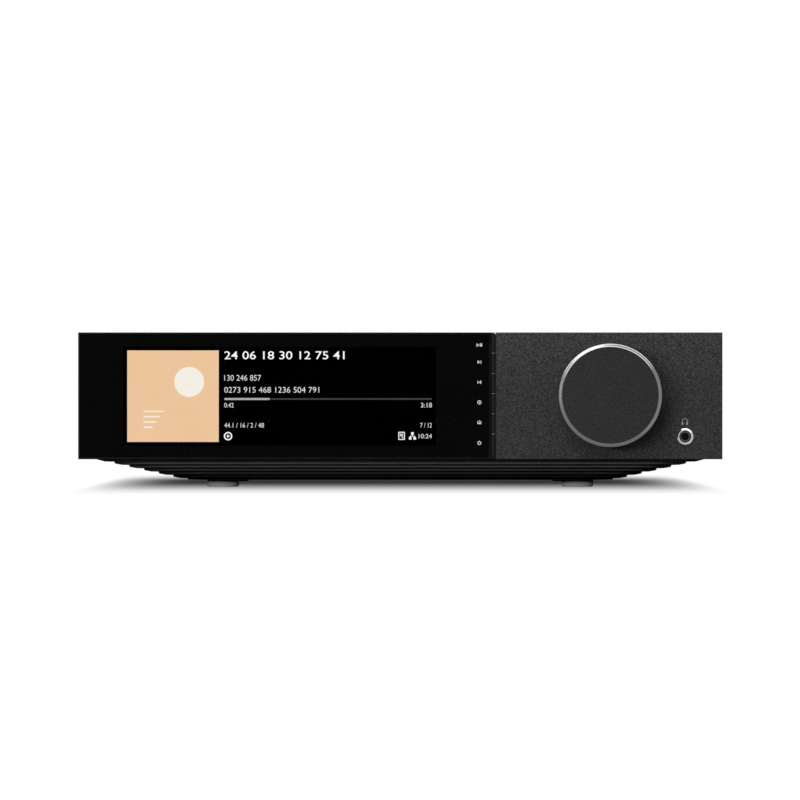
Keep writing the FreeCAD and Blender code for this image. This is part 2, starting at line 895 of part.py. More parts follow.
def encoder_nut():
    """Six-sided nut on the bush, against the panel."""
    radius = nut_flats / math.sqrt(3)
    points = []
    for corner in range(7):
        angle = math.radians(60 * corner)
        x = knob_x + radius * math.cos(angle)
        points.append(Vec(x, front_y - nut_thick, knob_z + radius * math.sin(angle)))
    nut = Part.Face(Part.makePolygon(points)).extrude(Vec(0, nut_thick, 0))
    return nut.cut(rod_y(knob_x, knob_z, bush_radius + run_clear, front_y - nut_thick, front_y))


def headphone_socket():
    """Plastic body with a round nose through the panel and a bore for a 3.5 mm plug."""
    half = phones_body / 2
    y0 = front_y + panel_thick
    y1 = y0 + phones_depth
    shape = tunnel(phones_x, phones_z, half, half, y0, y1)
    nose_y = front_y - phones_nut_thick / 2
    shape = shape.fuse(rod_y(phones_x, phones_z, phones_nose, nose_y, y0))
    return shape.cut(bore_y(phones_x, phones_z, plug_bore, nose_y, y1 - panel_thick))


def headphone_nut():
    """Round nut with a bevelled front and a lip over the socket's nose."""
    bore = phones_nose + run_clear
    tip = front_y - phones_nut_thick
    lip_y = front_y - phones_nut_thick / 2
    outline = [
        (bore, front_y), (phones_nut_radius, front_y), (phones_nut_radius, tip + phones_nut_bevel),
        (phones_nut_radius - phones_nut_bevel, tip), (phones_nose, tip), (phones_lip, lip_y - slip),
        (phones_lip, lip_y), (bore, lip_y),
    ]
    return turned_y(phones_x, phones_z, outline)


def main_board_y0():
    return wall_y - slip - main_board_depth


def boards():
    """Footprints of the three large boards: left, right, front and rear."""
    main = (main_board_left, board_side, main_board_y0(), wall_y - slip)
    amp_y1 = wall_y - amp_from_rear
    amp = (amp_left, amp_left + amp_width, amp_y1 - amp_depth, amp_y1)
    supply_y1 = wall_y - supply_from_rear
    supply = (supply_left, supply_left + supply_width, supply_y1 - supply_depth, supply_y1)
    return main, amp, supply


def board_plate(place):
    x0, x1, y0, y1 = place
    return box(x0, x1, y0, y1, board_z, deck_z)


def main_board():
    """Board with a row of chips near its front edge."""
    place = boards()[0]
    centre = (place[0] + place[1]) / 2
    y0 = place[2] + ribbon_reach
    half = main_chip / 2
    chips = []
    for step in range(main_chip_count):
        x = centre + (step - (main_chip_count - 1) / 2) * main_chip_pitch
        chips.append(box(x - half, x + half, y0, y0 + main_chip, deck_z, deck_z + board_thick))
    return board_plate(place).fuse(chips)


def streaming_module():
    """Small radio and network board under a metal can."""
    place = boards()[0]
    x1 = place[1] - module_inset
    x0 = x1 - module_width
    y0 = place[2] + (main_board_depth - module_depth) / 2
    y1 = y0 + module_depth
    base = box(x0, x1, y0, y1, deck_z, deck_z + board_thick)
    m = can_margin
    return base.fuse(box(x0 + m, x1 - m, y0 + m, y1 - m, deck_z + board_thick, deck_z + module_height))


def transistor_places():
    x0, x1, y0, y1 = boards()[1]
    return [((x0 + x1) / 2, (y0 + y1 + side * transistor_pitch) / 2) for side in (-1, 1)]


def amplifier_module():
    """Board with two power stages under the heat sink."""
    place = boards()[1]
    shape = board_plate(place)
    half = transistor_size / 2
    for x, y in transistor_places():
        shape = shape.fuse(box(x - half, x + half, y - half, y + half, deck_z, deck_z + transistor_height))
    return shape


def heat_sink():
    """Extruded heat sink: a plate with upright fins."""
    x0, x1, y0, y1 = boards()[1]
    x0 += sink_margin
    x1 -= sink_margin
    z0 = deck_z + transistor_height
    shape = box(x0, x1, y0, y1, z0, z0 + sink_base)
    pitch = (x1 - x0 - fin_thick) / (fin_count - 1)
    for index in range(fin_count):
        x = x0 + index * pitch
        shape = shape.fuse(box(x, x + fin_thick, y0, y1, z0 + sink_base, z0 + sink_height))
    return shape.removeSplitter()


def supply_board():
    return board_plate(boards()[2])


def supply_transformer():
    """Ferrite core with a winding that bulges out on two sides."""
    x0, x1, y0, y1 = boards()[2]
    x = (x0 + x1) / 2
    y = (y0 + y1) / 2
    half_x = core_width / 2
    half_y = core_depth / 2
    core = box(x - half_x, x + half_x, y - half_y, y + half_y, deck_z, deck_z + core_height)
    half = winding_width / 2
    reach = half_y + winding_bulge
    low = deck_z + (core_height - winding_height) / 2
    return core.fuse(box(x - half, x + half, y - reach, y + reach, low, low + winding_height))


def supply_capacitors():
    x0, x1, y0, y1 = boards()[2]
    cans = []
    for index in range(capacitor_count):
        x = (x0 + x1) / 2 + (index - (capacitor_count - 1) / 2) * capacitor_pitch
        y = y0 + 2 * capacitor_radius
        can = rod_z(x, y, capacitor_radius, deck_z, deck_z + capacitor_height)
        rim = [edge for edge in can.Edges if abs(edge.BoundBox.ZMin - can.BoundBox.ZMax) < 1e-4]
        cans.append(can.makeFillet(capacitor_round, rim))
    return Part.makeCompound(cans)


def board_standoffs():
    posts = []
    for x0, x1, y0, y1 in boards():
        for x in (x0 + standoff_inset, x1 - standoff_inset):
            for y in (y0 + standoff_inset, y1 - standoff_inset):
                posts.append(rod_z(x, y, standoff_radius, floor_z, board_z))
    return Part.makeCompound(posts)


def mains_inlet():
    """Moulded inlet with three blades, and beside it the well of the power rocker."""
    z = middle_z
    half_x = inlet_width / 2
    half_z = inlet_height / 2
    outer = rear_y + inlet_flange
    flange = tunnel(inlet_x, z, half_x, half_z, rear_y, outer)
    rim = [edge for edge in flange.Edges if abs(edge.BoundBox.YMin - outer) < 1e-4]
    flange = flange.makeChamfer(inlet_bevel, rim)
    body = tunnel(inlet_x, z, half_x - inlet_rim, half_z - inlet_rim, rear_y - inlet_depth, rear_y)
    shape = flange.fuse(body)
    sx = inlet_x + socket_shift
    floor = outer - socket_depth
    well = tunnel(sx, z, socket_width / 2, socket_height / 2, floor, outer)
    upper = [e for e in well.Edges if e.BoundBox.YLength > socket_depth / 2 and e.BoundBox.ZMin > z]
    shape = shape.cut(well.makeChamfer(socket_corner, upper))
    tip = floor + blade_length
    blades = []
    for side in (-1, 0, 1):
        bx = sx + side * blade_pitch / 2
        bz = z + (0.5 - abs(side)) * earth_drop
        blades.append(tunnel(bx, bz, blade_thick / 2, blade_height / 2, floor, tip))
    shape = shape.fuse(blades)
    rx = inlet_x + rocker_shift
    half_w = rocker_width / 2 + loose
    reach = rocker_radius + loose
    pivot_y = rocker_pivot_y()
    shape = shape.cut(tunnel(rx, z, half_w, reach, pivot_y - rocker_room, outer))
    return shape.cut(rocker_pin_rod(rocker_pin + run_clear, rocker_pin_length + loose))


def rocker_pivot_y():
    return rear_y + inlet_flange - rocker_sink


def rocker_pin_rod(radius, reach):
    """Rod along the rocker's pivot that reaches past both of its sides."""
    half = rocker_width / 2 + reach
    start = Vec(inlet_x + rocker_shift - half, rocker_pivot_y(), middle_z)
    return Part.makeCylinder(radius, 2 * half, start, Vec(1, 0, 0))


def power_rocker():
    """Rocker at its ON stop: a shallow V in front, rounded ends and a pivot pin."""
    rx = inlet_x + rocker_shift
    z = middle_z
    y = rocker_pivot_y()
    half_w = rocker_width / 2
    rise = rocker_radius * math.tan(math.radians(rocker_tilt))
    drum = Part.makeCylinder(rocker_radius, rocker_width, Vec(rx - half_w, y, z), Vec(1, 0, 0))
    face = y + rocker_front
    outline = [
        (y - rocker_back, -rocker_radius), (y - rocker_back, rocker_radius),
        (face + rise, rocker_radius), (face, 0), (face + rise, -rocker_radius),
    ]
    points = [Vec(rx - half_w, py, z + pz) for py, pz in outline]
    block = Part.Face(Part.makePolygon(points + points[:1])).extrude(Vec(rocker_width, 0, 0))
    shape = drum.common(block).fuse(rocker_pin_rod(rocker_pin, rocker_pin_length))
    shape.rotate(Vec(rx, y, z), Vec(1, 0, 0), rocker_tilt)
    return shape


def post_places():
    x = post_pitch_x / 2
    z = post_pitch_z / 2
    return [(post_x + sx * x, middle_z + sz * z) for sx in (-1, 1) for sz in (-1, 1)]


def post_plug_half():
    """Half sizes of the part of the speaker block that fills the rear panel's opening."""
    margin = post_margin - post_rim
    return post_pitch_x / 2 + margin, post_pitch_z / 2 + margin


def speaker_block():
    """Insulating plate for four stems, stepped to pass through the rear panel."""
    half_x, half_z = post_plug_half()
    outer = rear_y + post_plate
    plate = tunnel(post_x, middle_z, half_x + post_rim, half_z + post_rim, rear_y, outer)
    rim = [edge for edge in plate.Edges if abs(edge.BoundBox.YMin - outer) < 1e-4]
    plate = plate.makeChamfer(edge_break, rim)
    shape = plate.fuse(tunnel(post_x, middle_z, half_x, half_z, wall_y, rear_y))
    return shape.cut([rod_y(x, z, stem_radius + slip, wall_y, outer) for x, z in post_places()])


def speaker_stems():
    """Threaded stems with a nut inside the case and a 4 mm bore at the outer end."""
    stems = []
    end = rear_y + terminal_reach - stem_short
    for x, z in post_places():
        stem = rod_y(x, z, stem_radius, wall_y - stem_inside, end)
        stem = stem.fuse(rod_y(x, z, stem_nut, wall_y - stem_nut_thick, wall_y))
        stems.append(stem.cut(bore_y(x, z, banana_bore, end, end - lead_in - banana_length)))
    return Part.makeCompound(stems)


def speaker_washer(index):
    x, z = post_places()[index]
    y0 = rear_y + post_plate
    ring = rod_y(x, z, washer_radius, y0, y0 + washer_thick)
    return ring.cut(rod_y(x, z, stem_radius + slip, y0, y0 + washer_thick))


def speaker_cap(index):
    """Turning cap with grip flutes, open at its end for a plug."""
    x, z = post_places()[index]
    y0 = rear_y + post_plate + washer_thick
    y1 = y0 + cap_length
    cap = rod_y(x, z, cap_radius, y0, y1)
    rim = [edge for edge in cap.Edges if abs(edge.BoundBox.YMin - y1) < 1e-4]
    cap = cap.makeChamfer(cap_bevel, rim)
    reach = cap_radius + cap_flute_radius / 2
    cuts = [rod_y(x, z, stem_radius + run_clear, y0, y1)]
    for flute in range(cap_flutes):
        angle = 2 * math.pi * flute / cap_flutes
        fx = x + reach * math.cos(angle)
        fz = z + reach * math.sin(angle)
        cuts.append(rod_y(fx, fz, cap_flute_radius, y0 + washer_thick, y1))
    return cap.cut(cuts)


def phono_heights():
    low = deck_z + (phono_pitch_z - phono_gap) / 2
    return low, low + phono_pitch_z


def phono_places():
    return [(phono_x + side * phono_pitch_x / 2, z) for side in (-1, 1) for z in phono_heights()]


def phono_sockets():
    """Four jacks on the main board, each a block with a round barrel through the rear panel."""
    jacks = []
    for x, z in phono_places():
        half_x = (phono_pitch_x - phono_gap) / 2
        half_z = (phono_pitch_z - phono_gap) / 2
        front = wall_y - slip
        tip = rear_y + phono_reach
        block = tunnel(x, z, half_x, half_z, front - phono_depth, front)
        barrel = rod_y(x, z, phono_radius, front, tip)
        rim = [edge for edge in barrel.Edges if abs(edge.BoundBox.YMin - tip) < 1e-4]
        jack = block.fuse(barrel.makeChamfer(edge_break, rim))
        jacks.append(jack.cut(bore_y(x, z, phono_bore, tip, rear_y + phono_bore_from_rear)))
    return Part.makeCompound(jacks)


def socket_shell(x, width, height, depth, wall):
    """Rectangular socket that stands on the main board, open to the rear."""
    y0 = wall_y - depth
    y1 = rear_y + socket_reach
    z = deck_z + height / 2
    shape = tunnel(x, z, width / 2, height / 2, y0, y1)
    return shape.cut(tunnel(x, z, width / 2 - wall, height / 2 - wall, y0 + 2 * wall, y1))


def tongue(x, width, height, depth, thick):
    """Contact tongue in the middle of a socket."""
    half = width / 2 - 2 * shell_wall
    y1 = rear_y + socket_reach - 2 * shell_wall
    return tunnel(x, deck_z + height / 2, half, thick / 2, wall_y - depth, y1)


def hdmi_socket():
    shell = socket_shell(hdmi_x, hdmi_width, hdmi_height, hdmi_depth, shell_wall)
    return shell.fuse(tongue(hdmi_x, hdmi_width, hdmi_height, hdmi_depth, hdmi_tongue))


def usb_socket():
    shell = socket_shell(usb_x, usb_width, usb_height, usb_depth, shell_wall)
    return shell.fuse(tongue(usb_x, usb_width, usb_height, usb_depth, usb_tongue))


def network_socket():
    """Eight-way jack with the notch for the plug's latch at the bottom."""
    shape = socket_shell(network_x, network_width, network_height, network_depth, jack_wall)
    half = latch_width / 2
    y0 = wall_y - network_depth + 2 * jack_wall
    y1 = rear_y + socket_reach
    low = deck_z + jack_wall / 2
    return shape.cut(box(network_x - half, network_x + half, y0, y1, low, deck_z + jack_wall))


def optical_socket():
    return socket_shell(optical_x, optical_width, optical_height, optical_depth, shell_wall)


button_names = ["play_pause", "next", "previous", "info", "home", "power"]
post_names = ["right_minus", "right_plus", "left_minus", "left_plus"]

nodes = {
    "stepped_base": stepped_base(),
    "foot_pads": foot_pads(),
    "chassis_pan": chassis_pan(),
    "side_panel_left": side_panel(-1),
    "side_panel_right": side_panel(1),
    "top_cover": top_cover(),
    "rear_panel": rear_panel(),
    "lid_rail": lid_rail(),
    "case_screws": case_screws(),
    "front_subframe": front_subframe(),
    "control_panel": control_panel(),
    "glass_frame": glass_frame(),
    "display_glass": pane(glass_y, mask_y),
    "display_mask": display_mask(),
    "lcd_panel": lcd_panel(),
    "display_carrier": display_carrier(),
    "display_board": display_board(),
    "ribbon_cable": ribbon_cable(),
    "button_guide": button_guide(),
    "button_board": button_board(),
    "button_switches": button_switches(),
    "volume_knob": volume_knob(),
    "knob_trim_ring": knob_trim_ring(),
    "volume_shaft": volume_shaft(),
    "source_ring": source_ring(),
    "encoder_body": encoder_body(),
    "encoder_nut": encoder_nut(),
    "headphone_socket": headphone_socket(),
    "headphone_nut": headphone_nut(),
    "main_board": main_board(),
    "streaming_module": streaming_module(),
    "amplifier_module": amplifier_module(),
    "heat_sink": heat_sink(),
    "supply_board": supply_board(),
    "supply_transformer": supply_transformer(),
    "supply_capacitors": supply_capacitors(),
    "board_standoffs": board_standoffs(),
    "mains_inlet": mains_inlet(),
    "power_rocker": power_rocker(),
    "speaker_block": speaker_block(),
    "speaker_stems": speaker_stems(),
    "phono_sockets": phono_sockets(),
    "hdmi_socket": hdmi_socket(),
    "usb_socket": usb_socket(),
    "network_socket": network_socket(),
    "optical_socket": optical_socket(),
}
for index, name in enumerate(button_names):
    nodes[name + "_button"] = button(index)
for index, name in enumerate(post_names):
    nodes["speaker_washer_" + name] = speaker_washer(index)
    nodes["speaker_cap_" + name] = speaker_cap(index)

for name, shape in nodes.items():
    if not shape.isValid():
        print("not valid:", name)
    shape.exportStep("parts/" + name + ".step")
print(len(nodes), "nodes written")
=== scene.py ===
import json
import math

import bmesh
import bpy
from mathutils import Matrix, Vector


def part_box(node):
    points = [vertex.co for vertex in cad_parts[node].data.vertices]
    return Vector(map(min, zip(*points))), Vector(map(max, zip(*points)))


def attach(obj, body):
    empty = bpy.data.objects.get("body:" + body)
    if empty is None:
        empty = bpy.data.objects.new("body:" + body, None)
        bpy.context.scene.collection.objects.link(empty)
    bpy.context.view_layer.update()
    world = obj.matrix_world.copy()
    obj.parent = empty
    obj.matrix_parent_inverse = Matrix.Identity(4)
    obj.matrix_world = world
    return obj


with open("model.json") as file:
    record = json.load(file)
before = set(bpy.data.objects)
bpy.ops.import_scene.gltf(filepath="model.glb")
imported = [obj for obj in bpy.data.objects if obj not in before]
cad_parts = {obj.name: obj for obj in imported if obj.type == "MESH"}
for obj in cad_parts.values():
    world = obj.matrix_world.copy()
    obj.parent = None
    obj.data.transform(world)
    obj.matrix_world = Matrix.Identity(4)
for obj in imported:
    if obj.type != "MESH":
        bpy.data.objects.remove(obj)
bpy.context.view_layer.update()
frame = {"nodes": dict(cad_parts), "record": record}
nodes = frame["nodes"]
mm = 0.001
scene = bpy.context.scene
print("frame loaded:", len(nodes), "nodes")


# camera, straight at the front from far away
cameraSetting = {
    "across": -0.15, "away": 2500.0, "height": 43.75, "frontY": -154.0,
    "sensor": 36.0, "lens": 228.7, "clipEnd": 60.0,
}


def addObject(name, data):
    made = bpy.data.objects.new(name, data)
    scene.collection.objects.link(made)
    return made


cameraData = bpy.data.cameras.new("frontCamera")
cameraData.sensor_width = cameraSetting["sensor"]
cameraData.lens = cameraSetting["lens"]
cameraData.clip_end = cameraSetting["clipEnd"]
camera = addObject("frontCamera", cameraData)
camera.location = (
    cameraSetting["across"] * mm,
    (cameraSetting["frontY"] - cameraSetting["away"]) * mm,
    cameraSetting["height"] * mm,
)
camera.rotation_euler = (math.pi / 2, 0.0, 0.0)
scene.camera = camera
scene.view_settings.view_transform = "Standard"
print("camera placed")


# small helpers for shader trees
def addNode(tree, kind, **settings):
    node = tree.nodes.new(kind)
    for label, value in settings.items():
        setattr(node, label, value)
    return node


def feed(tree, value, socket):
    if isinstance(value, bpy.types.NodeSocket):
        tree.links.new(value, socket)
    else:
        socket.default_value = value


def calc(tree, operation, first, second=0.0, clamp=False):
    node = addNode(tree, "ShaderNodeMath", operation=operation, use_clamp=clamp)
    feed(tree, first, node.inputs[0])
    feed(tree, second, node.inputs[1])
    return node.outputs[0]


def spread(tree, value, low, high, toLow=0.0, toHigh=1.0, kind="LINEAR"):
    node = addNode(tree, "ShaderNodeMapRange", clamp=True, interpolation_type=kind)
    for index, item in enumerate((value, low, high, toLow, toHigh)):
        feed(tree, item, node.inputs[index])
    return node.outputs[0]


def blendColour(tree, mask, first, second, mode="MIX"):
    node = addNode(tree, "ShaderNodeMix", data_type="RGBA", blend_type=mode)
    feed(tree, mask, node.inputs[0])
    feed(tree, first, node.inputs[6])
    feed(tree, second, node.inputs[7])
    return node.outputs[2]


def mixShaders(tree, mask, first, second):
    node = addNode(tree, "ShaderNodeMixShader")
    for index, item in enumerate((mask, first.outputs[0], second.outputs[0])):
        feed(tree, item, node.inputs[index])
    return node


def splitVector(tree, vector):
    node = addNode(tree, "ShaderNodeSeparateXYZ")
    feed(tree, vector, node.inputs[0])
    return node.outputs


def ownPlace(tree):
    return addNode(tree, "ShaderNodeTexCoord").outputs["Object"]


def addNoise(tree, vector, scale, **settings):
    node = addNode(tree, "ShaderNodeTexNoise")
    feed(tree, vector, node.inputs["Vector"])
    feed(tree, scale, node.inputs["Scale"])
    for label, value in settings.items():
        node.inputs[label.capitalize()].default_value = value
    return node.outputs[0]


def emptyTree(owner):
    owner.use_nodes = True
    owner.node_tree.nodes.clear()
    return owner.node_tree


def startGroup(name, inputs, outputs):
    group = bpy.data.node_groups.new(name, "ShaderNodeTree")
    for label, kind, value in inputs:
        kind = "NodeSocket" + kind
        socket = group.interface.new_socket(name=label, in_out="INPUT", socket_type=kind)
        socket.default_value = value
    for label, kind in outputs:
        kind = "NodeSocket" + kind
        group.interface.new_socket(name=label, in_out="OUTPUT", socket_type=kind)
    return group, group.nodes.new("NodeGroupInput"), group.nodes.new("NodeGroupOutput")


def useGroup(tree, group, **values):
    node = addNode(tree, "ShaderNodeGroup", node_tree=group)
    for label, value in values.items():
        feed(tree, value, node.inputs[label.capitalize()])
    return node


# fine even grain: Mask follows Amount, Height keeps its full range
def buildFineGrain():
    group, enter, leave = startGroup(
        "fineGrain",
        [
            ("Scale", "Float", 1500.0), ("Stretch", "Vector", (1.0, 1.0, 1.0)),
            ("Amount", "Float", 1.0),
        ],
        [("Mask", "Float"), ("Height", "Float")],
    )
    stretched = addNode(group, "ShaderNodeVectorMath", operation="MULTIPLY")
    feed(group, ownPlace(group), stretched.inputs[0])
    feed(group, enter.outputs["Stretch"], stretched.inputs[1])
    noise = addNoise(group, stretched.outputs[0], enter.outputs["Scale"], detail=2.0, roughness=0.6)
    height = spread(group, noise, 0.3, 0.7)
    feed(group, calc(group, "MULTIPLY", height, enter.outputs["Amount"]), leave.inputs["Mask"])
    feed(group, height, leave.inputs["Height"])
    return group


# sparse bright flakes, each with its own tint
def buildSpecks():
    group, enter, leave = startGroup(
        "specks",
        [
            ("Scale", "Float", 900.0), ("Size", "Float", 0.3),
            ("Share", "Float", 0.2), ("Amount", "Float", 1.0),
        ],
        [("Mask", "Float"), ("Tint", "Color")],
    )
    cells = addNode(group, "ShaderNodeTexVoronoi")
    feed(group, ownPlace(group), cells.inputs["Vector"])
    feed(group, enter.outputs["Scale"], cells.inputs["Scale"])
    parts = addNode(group, "ShaderNodeSeparateColor")
    feed(group, cells.outputs["Color"], parts.inputs[0])
    chosen = calc(group, "LESS_THAN", parts.outputs[0], enter.outputs["Share"])
    away = calc(group, "DIVIDE", cells.outputs["Distance"], enter.outputs["Size"])
    near = calc(group, "SUBTRACT", 1.0, away, clamp=True)
    flake = calc(group, "MULTIPLY", chosen, near)
    feed(group, calc(group, "MULTIPLY", flake, enter.outputs["Amount"]), leave.inputs["Mask"])
    tint = blendColour(group, parts.outputs[1], (0.8, 0.82, 0.85, 1.0), (1.0, 0.9, 0.72, 1.0))
    feed(group, tint, leave.inputs["Tint"])
    return group


# large soft patches of handling and coating
def buildSoftPatches():
    group, enter, leave = startGroup(
        "softPatches", [("Scale", "Float", 30.0), ("Amount", "Float", 1.0)], [("Mask", "Float")],
    )
    noise = addNoise(group, ownPlace(group), enter.outputs["Scale"], detail=3.0)
    patch = spread(group, noise, 0.35, 0.65)
    feed(group, calc(group, "MULTIPLY", patch, enter.outputs["Amount"]), leave.inputs["Mask"])
    return group


# rubbed edges, partly real wear and partly a painted highlight where edges catch light, broken up
# by noise
def buildEdgeRubAndHighlight():
    group, enter, leave = startGroup(
        "edgeRubAndHighlight", [("Width", "Float", 0.0004), ("Amount", "Float", 1.0)], [("Mask", "Float")],
    )
    rounded = addNode(group, "ShaderNodeBevel", samples=4)
    feed(group, enter.outputs["Width"], rounded.inputs["Radius"])
    surface = addNode(group, "ShaderNodeNewGeometry")
    turn = addNode(group, "ShaderNodeVectorMath", operation="DOT_PRODUCT")
    feed(group, rounded.outputs[0], turn.inputs[0])
    feed(group, surface.outputs["Normal"], turn.inputs[1])
    bend = spread(group, turn.outputs["Value"], 0.99, 0.8)
    noise = addNoise(group, ownPlace(group), 260.0)
    broken = calc(group, "MULTIPLY", bend, spread(group, noise, 0.3, 0.6, 0.35, 1.0))
    mask = calc(group, "MULTIPLY", broken, enter.outputs["Amount"], clamp=True)
    feed(group, mask, leave.inputs["Mask"])
    return group


# lines left by turning, about an axis along Y through Centre
def buildTurnedLines():
    group, enter, leave = startGroup(
        "turnedLines",
        [
            ("Centre", "Vector", (0.0, 0.0, 0.0)), ("Scale", "Float", 4000.0),
            ("Amount", "Float", 1.0),
        ],
        [("Mask", "Float"), ("Height", "Float")],
    )
    offset = addNode(group, "ShaderNodeVectorMath", operation="SUBTRACT")
    feed(group, ownPlace(group), offset.inputs[0])
    feed(group, enter.outputs["Centre"], offset.inputs[1])
    flat = addNode(group, "ShaderNodeVectorMath", operation="MULTIPLY")
    feed(group, offset.outputs[0], flat.inputs[0])
    flat.inputs[1].default_value = (1.0, 0.0, 1.0)
    reach = addNode(group, "ShaderNodeVectorMath", operation="LENGTH")
    feed(group, flat.outputs[0], reach.inputs[0])
    depth = splitVector(group, offset.outputs[0])[1]
    along = calc(group, "ADD", reach.outputs["Value"], depth)
    lines = addNode(group, "ShaderNodeTexNoise", noise_dimensions="1D")
    feed(group, calc(group, "MULTIPLY", along, enter.outputs["Scale"]), lines.inputs["W"])
    lines.inputs["Scale"].default_value = 1.0
    lines.inputs["Detail"].default_value = 2.0
    height = spread(group, lines.outputs[0], 0.3, 0.7)
    feed(group, calc(group, "MULTIPLY", height, enter.outputs["Amount"]), leave.inputs["Mask"])
    feed(group, height, leave.inputs["Height"])
    return group


# thin dust on what faces up
def buildDust():
    group, enter, leave = startGroup("restingDust", [("Amount", "Float", 0.1)], [("Mask", "Float")])
    surface = addNode(group, "ShaderNodeNewGeometry")
    up = spread(group, splitVector(group, surface.outputs["Normal"])[2], 0.6, 1.0)
    noise = addNoise(group, ownPlace(group), 55.0, detail=5.0)
    mask = calc(group, "MULTIPLY", up, spread(group, noise, 0.35, 0.75))
    feed(group, calc(group, "MULTIPLY", mask, enter.outputs["Amount"]), leave.inputs["Mask"])
    return group


fineGrain = buildFineGrain()
specks = buildSpecks()
softPatches = buildSoftPatches()
edgeRubAndHighlight = buildEdgeRubAndHighlight()
turnedLines = buildTurnedLines()
restingDust = buildDust()
print("shader groups built")


def grey(value, warm=0.0):
    return (value * (1 + warm), value, value * (1 - warm), 1.0)


# one builder for every finish; a look leaves out what it doesn't need
def buildFinish(name, look):
    finish = bpy.data.materials.new(name)
    tree = emptyTree(finish)
    end = addNode(tree, "ShaderNodeOutputMaterial")
    shader = addNode(tree, "ShaderNodeBsdfPrincipled")
    feed(tree, shader.outputs[0], end.inputs[0])
    shader.inputs["Metallic"].default_value = look.get("metallic", 0.0)
    shader.inputs["Specular IOR Level"].default_value = look.get("specular", 0.5)
    shader.inputs["IOR"].default_value = look.get("ior", 1.5)
    shader.inputs["Transmission Weight"].default_value = look.get("clear", 0.0)
    base = look["colour"]
    second = look.get("second", tuple(c * 0.7 for c in base[:3]) + (1.0,))
    scale, amount = look.get("patches", (25.0, 0.25))
    mask = useGroup(tree, softPatches, scale=scale, amount=amount).outputs[0]
    colour = blendColour(tree, mask, base, second)
    smooth, uneven = look["roughness"], look.get("uneven", 0.06)
    roughness = spread(tree, mask, 0.0, 1.0, smooth, smooth + uneven)
    height = None
    if "grain" in look:
        scale, stretch, amount, tone = look["grain"]
        grain = useGroup(tree, fineGrain, scale=scale, stretch=stretch, amount=amount)
        colour = blendColour(tree, grain.outputs["Mask"], colour, tone)
        height = grain.outputs["Height"]
    if "turned" in look:
        centre, scale, amount, tone = look["turned"]
        lines = useGroup(tree, turnedLines, centre=centre, scale=scale, amount=amount)
        colour = blendColour(tree, lines.outputs["Mask"], colour, tone)
        height = lines.outputs["Height"]
    if "specks" in look:
        scale, size, share, amount = look["specks"]
        flakes = useGroup(tree, specks, scale=scale, size=size, share=share, amount=amount)
        colour = blendColour(tree, flakes.outputs["Mask"], colour, flakes.outputs["Tint"])
    # edges lighter: rubbed wear and a painted edge highlight
    if "rubAndHighlight" in look:
        width, amount, tone = look["rubAndHighlight"]
        rubAndHighlight = useGroup(tree, edgeRubAndHighlight, width=width, amount=amount).outputs[0]
        colour = blendColour(tree, rubAndHighlight, colour, tone)
    # faces tilted upwards get a lighter tone: painted highlight
    if "paintedUpHighlight" in look:
        low, high, tone = look["paintedUpHighlight"]
        up = splitVector(tree, addNode(tree, "ShaderNodeNewGeometry").outputs["Normal"])[2]
        above, below = calc(tree, "GREATER_THAN", up, low), calc(tree, "LESS_THAN", up, high)
        colour = blendColour(tree, calc(tree, "MULTIPLY", above, below), colour, tone)
    # darker from one height to the next: painted shade for parts that get less light
    if "paintedShade" in look:
        litLevel, shadedLevel, amount = look["paintedShade"]
        level = splitVector(tree, ownPlace(tree))[2]
        paintedShade = spread(tree, level, litLevel, shadedLevel, 0.0, amount)
        colour = blendColour(tree, paintedShade, colour, grey(0.002))
    if "dust" in look:
        dust = useGroup(tree, restingDust, amount=look["dust"]).outputs[0]
        colour = blendColour(tree, dust, colour, grey(0.35, 0.03))
    feed(tree, roughness, shader.inputs["Roughness"])
    if "glow" in look:
        feed(tree, colour, shader.inputs["Emission Color"])
        shader.inputs["Emission Strength"].default_value = 1.0
        colour = blendColour(tree, look["glow"], colour, grey(0.004))
    feed(tree, colour, shader.inputs["Base Color"])
    if height is not None and look.get("bump", 0.0) > 0:
        bump = addNode(tree, "ShaderNodeBump")
        bump.inputs["Strength"].default_value = look["bump"]
        bump.inputs["Distance"].default_value = look.get("bumpDepth", 0.00005)
        feed(tree, height, bump.inputs["Height"])
        feed(tree, bump.outputs[0], shader.inputs["Normal"])
    return finish


def boxCentre(name):
    low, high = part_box(name)
    return (low + high) / 2


dialCentre = tuple(boxCentre("volume_knob"))
nutCentre = tuple(boxCentre("headphone_nut"))
even = (1.0, 1.0, 1.0)

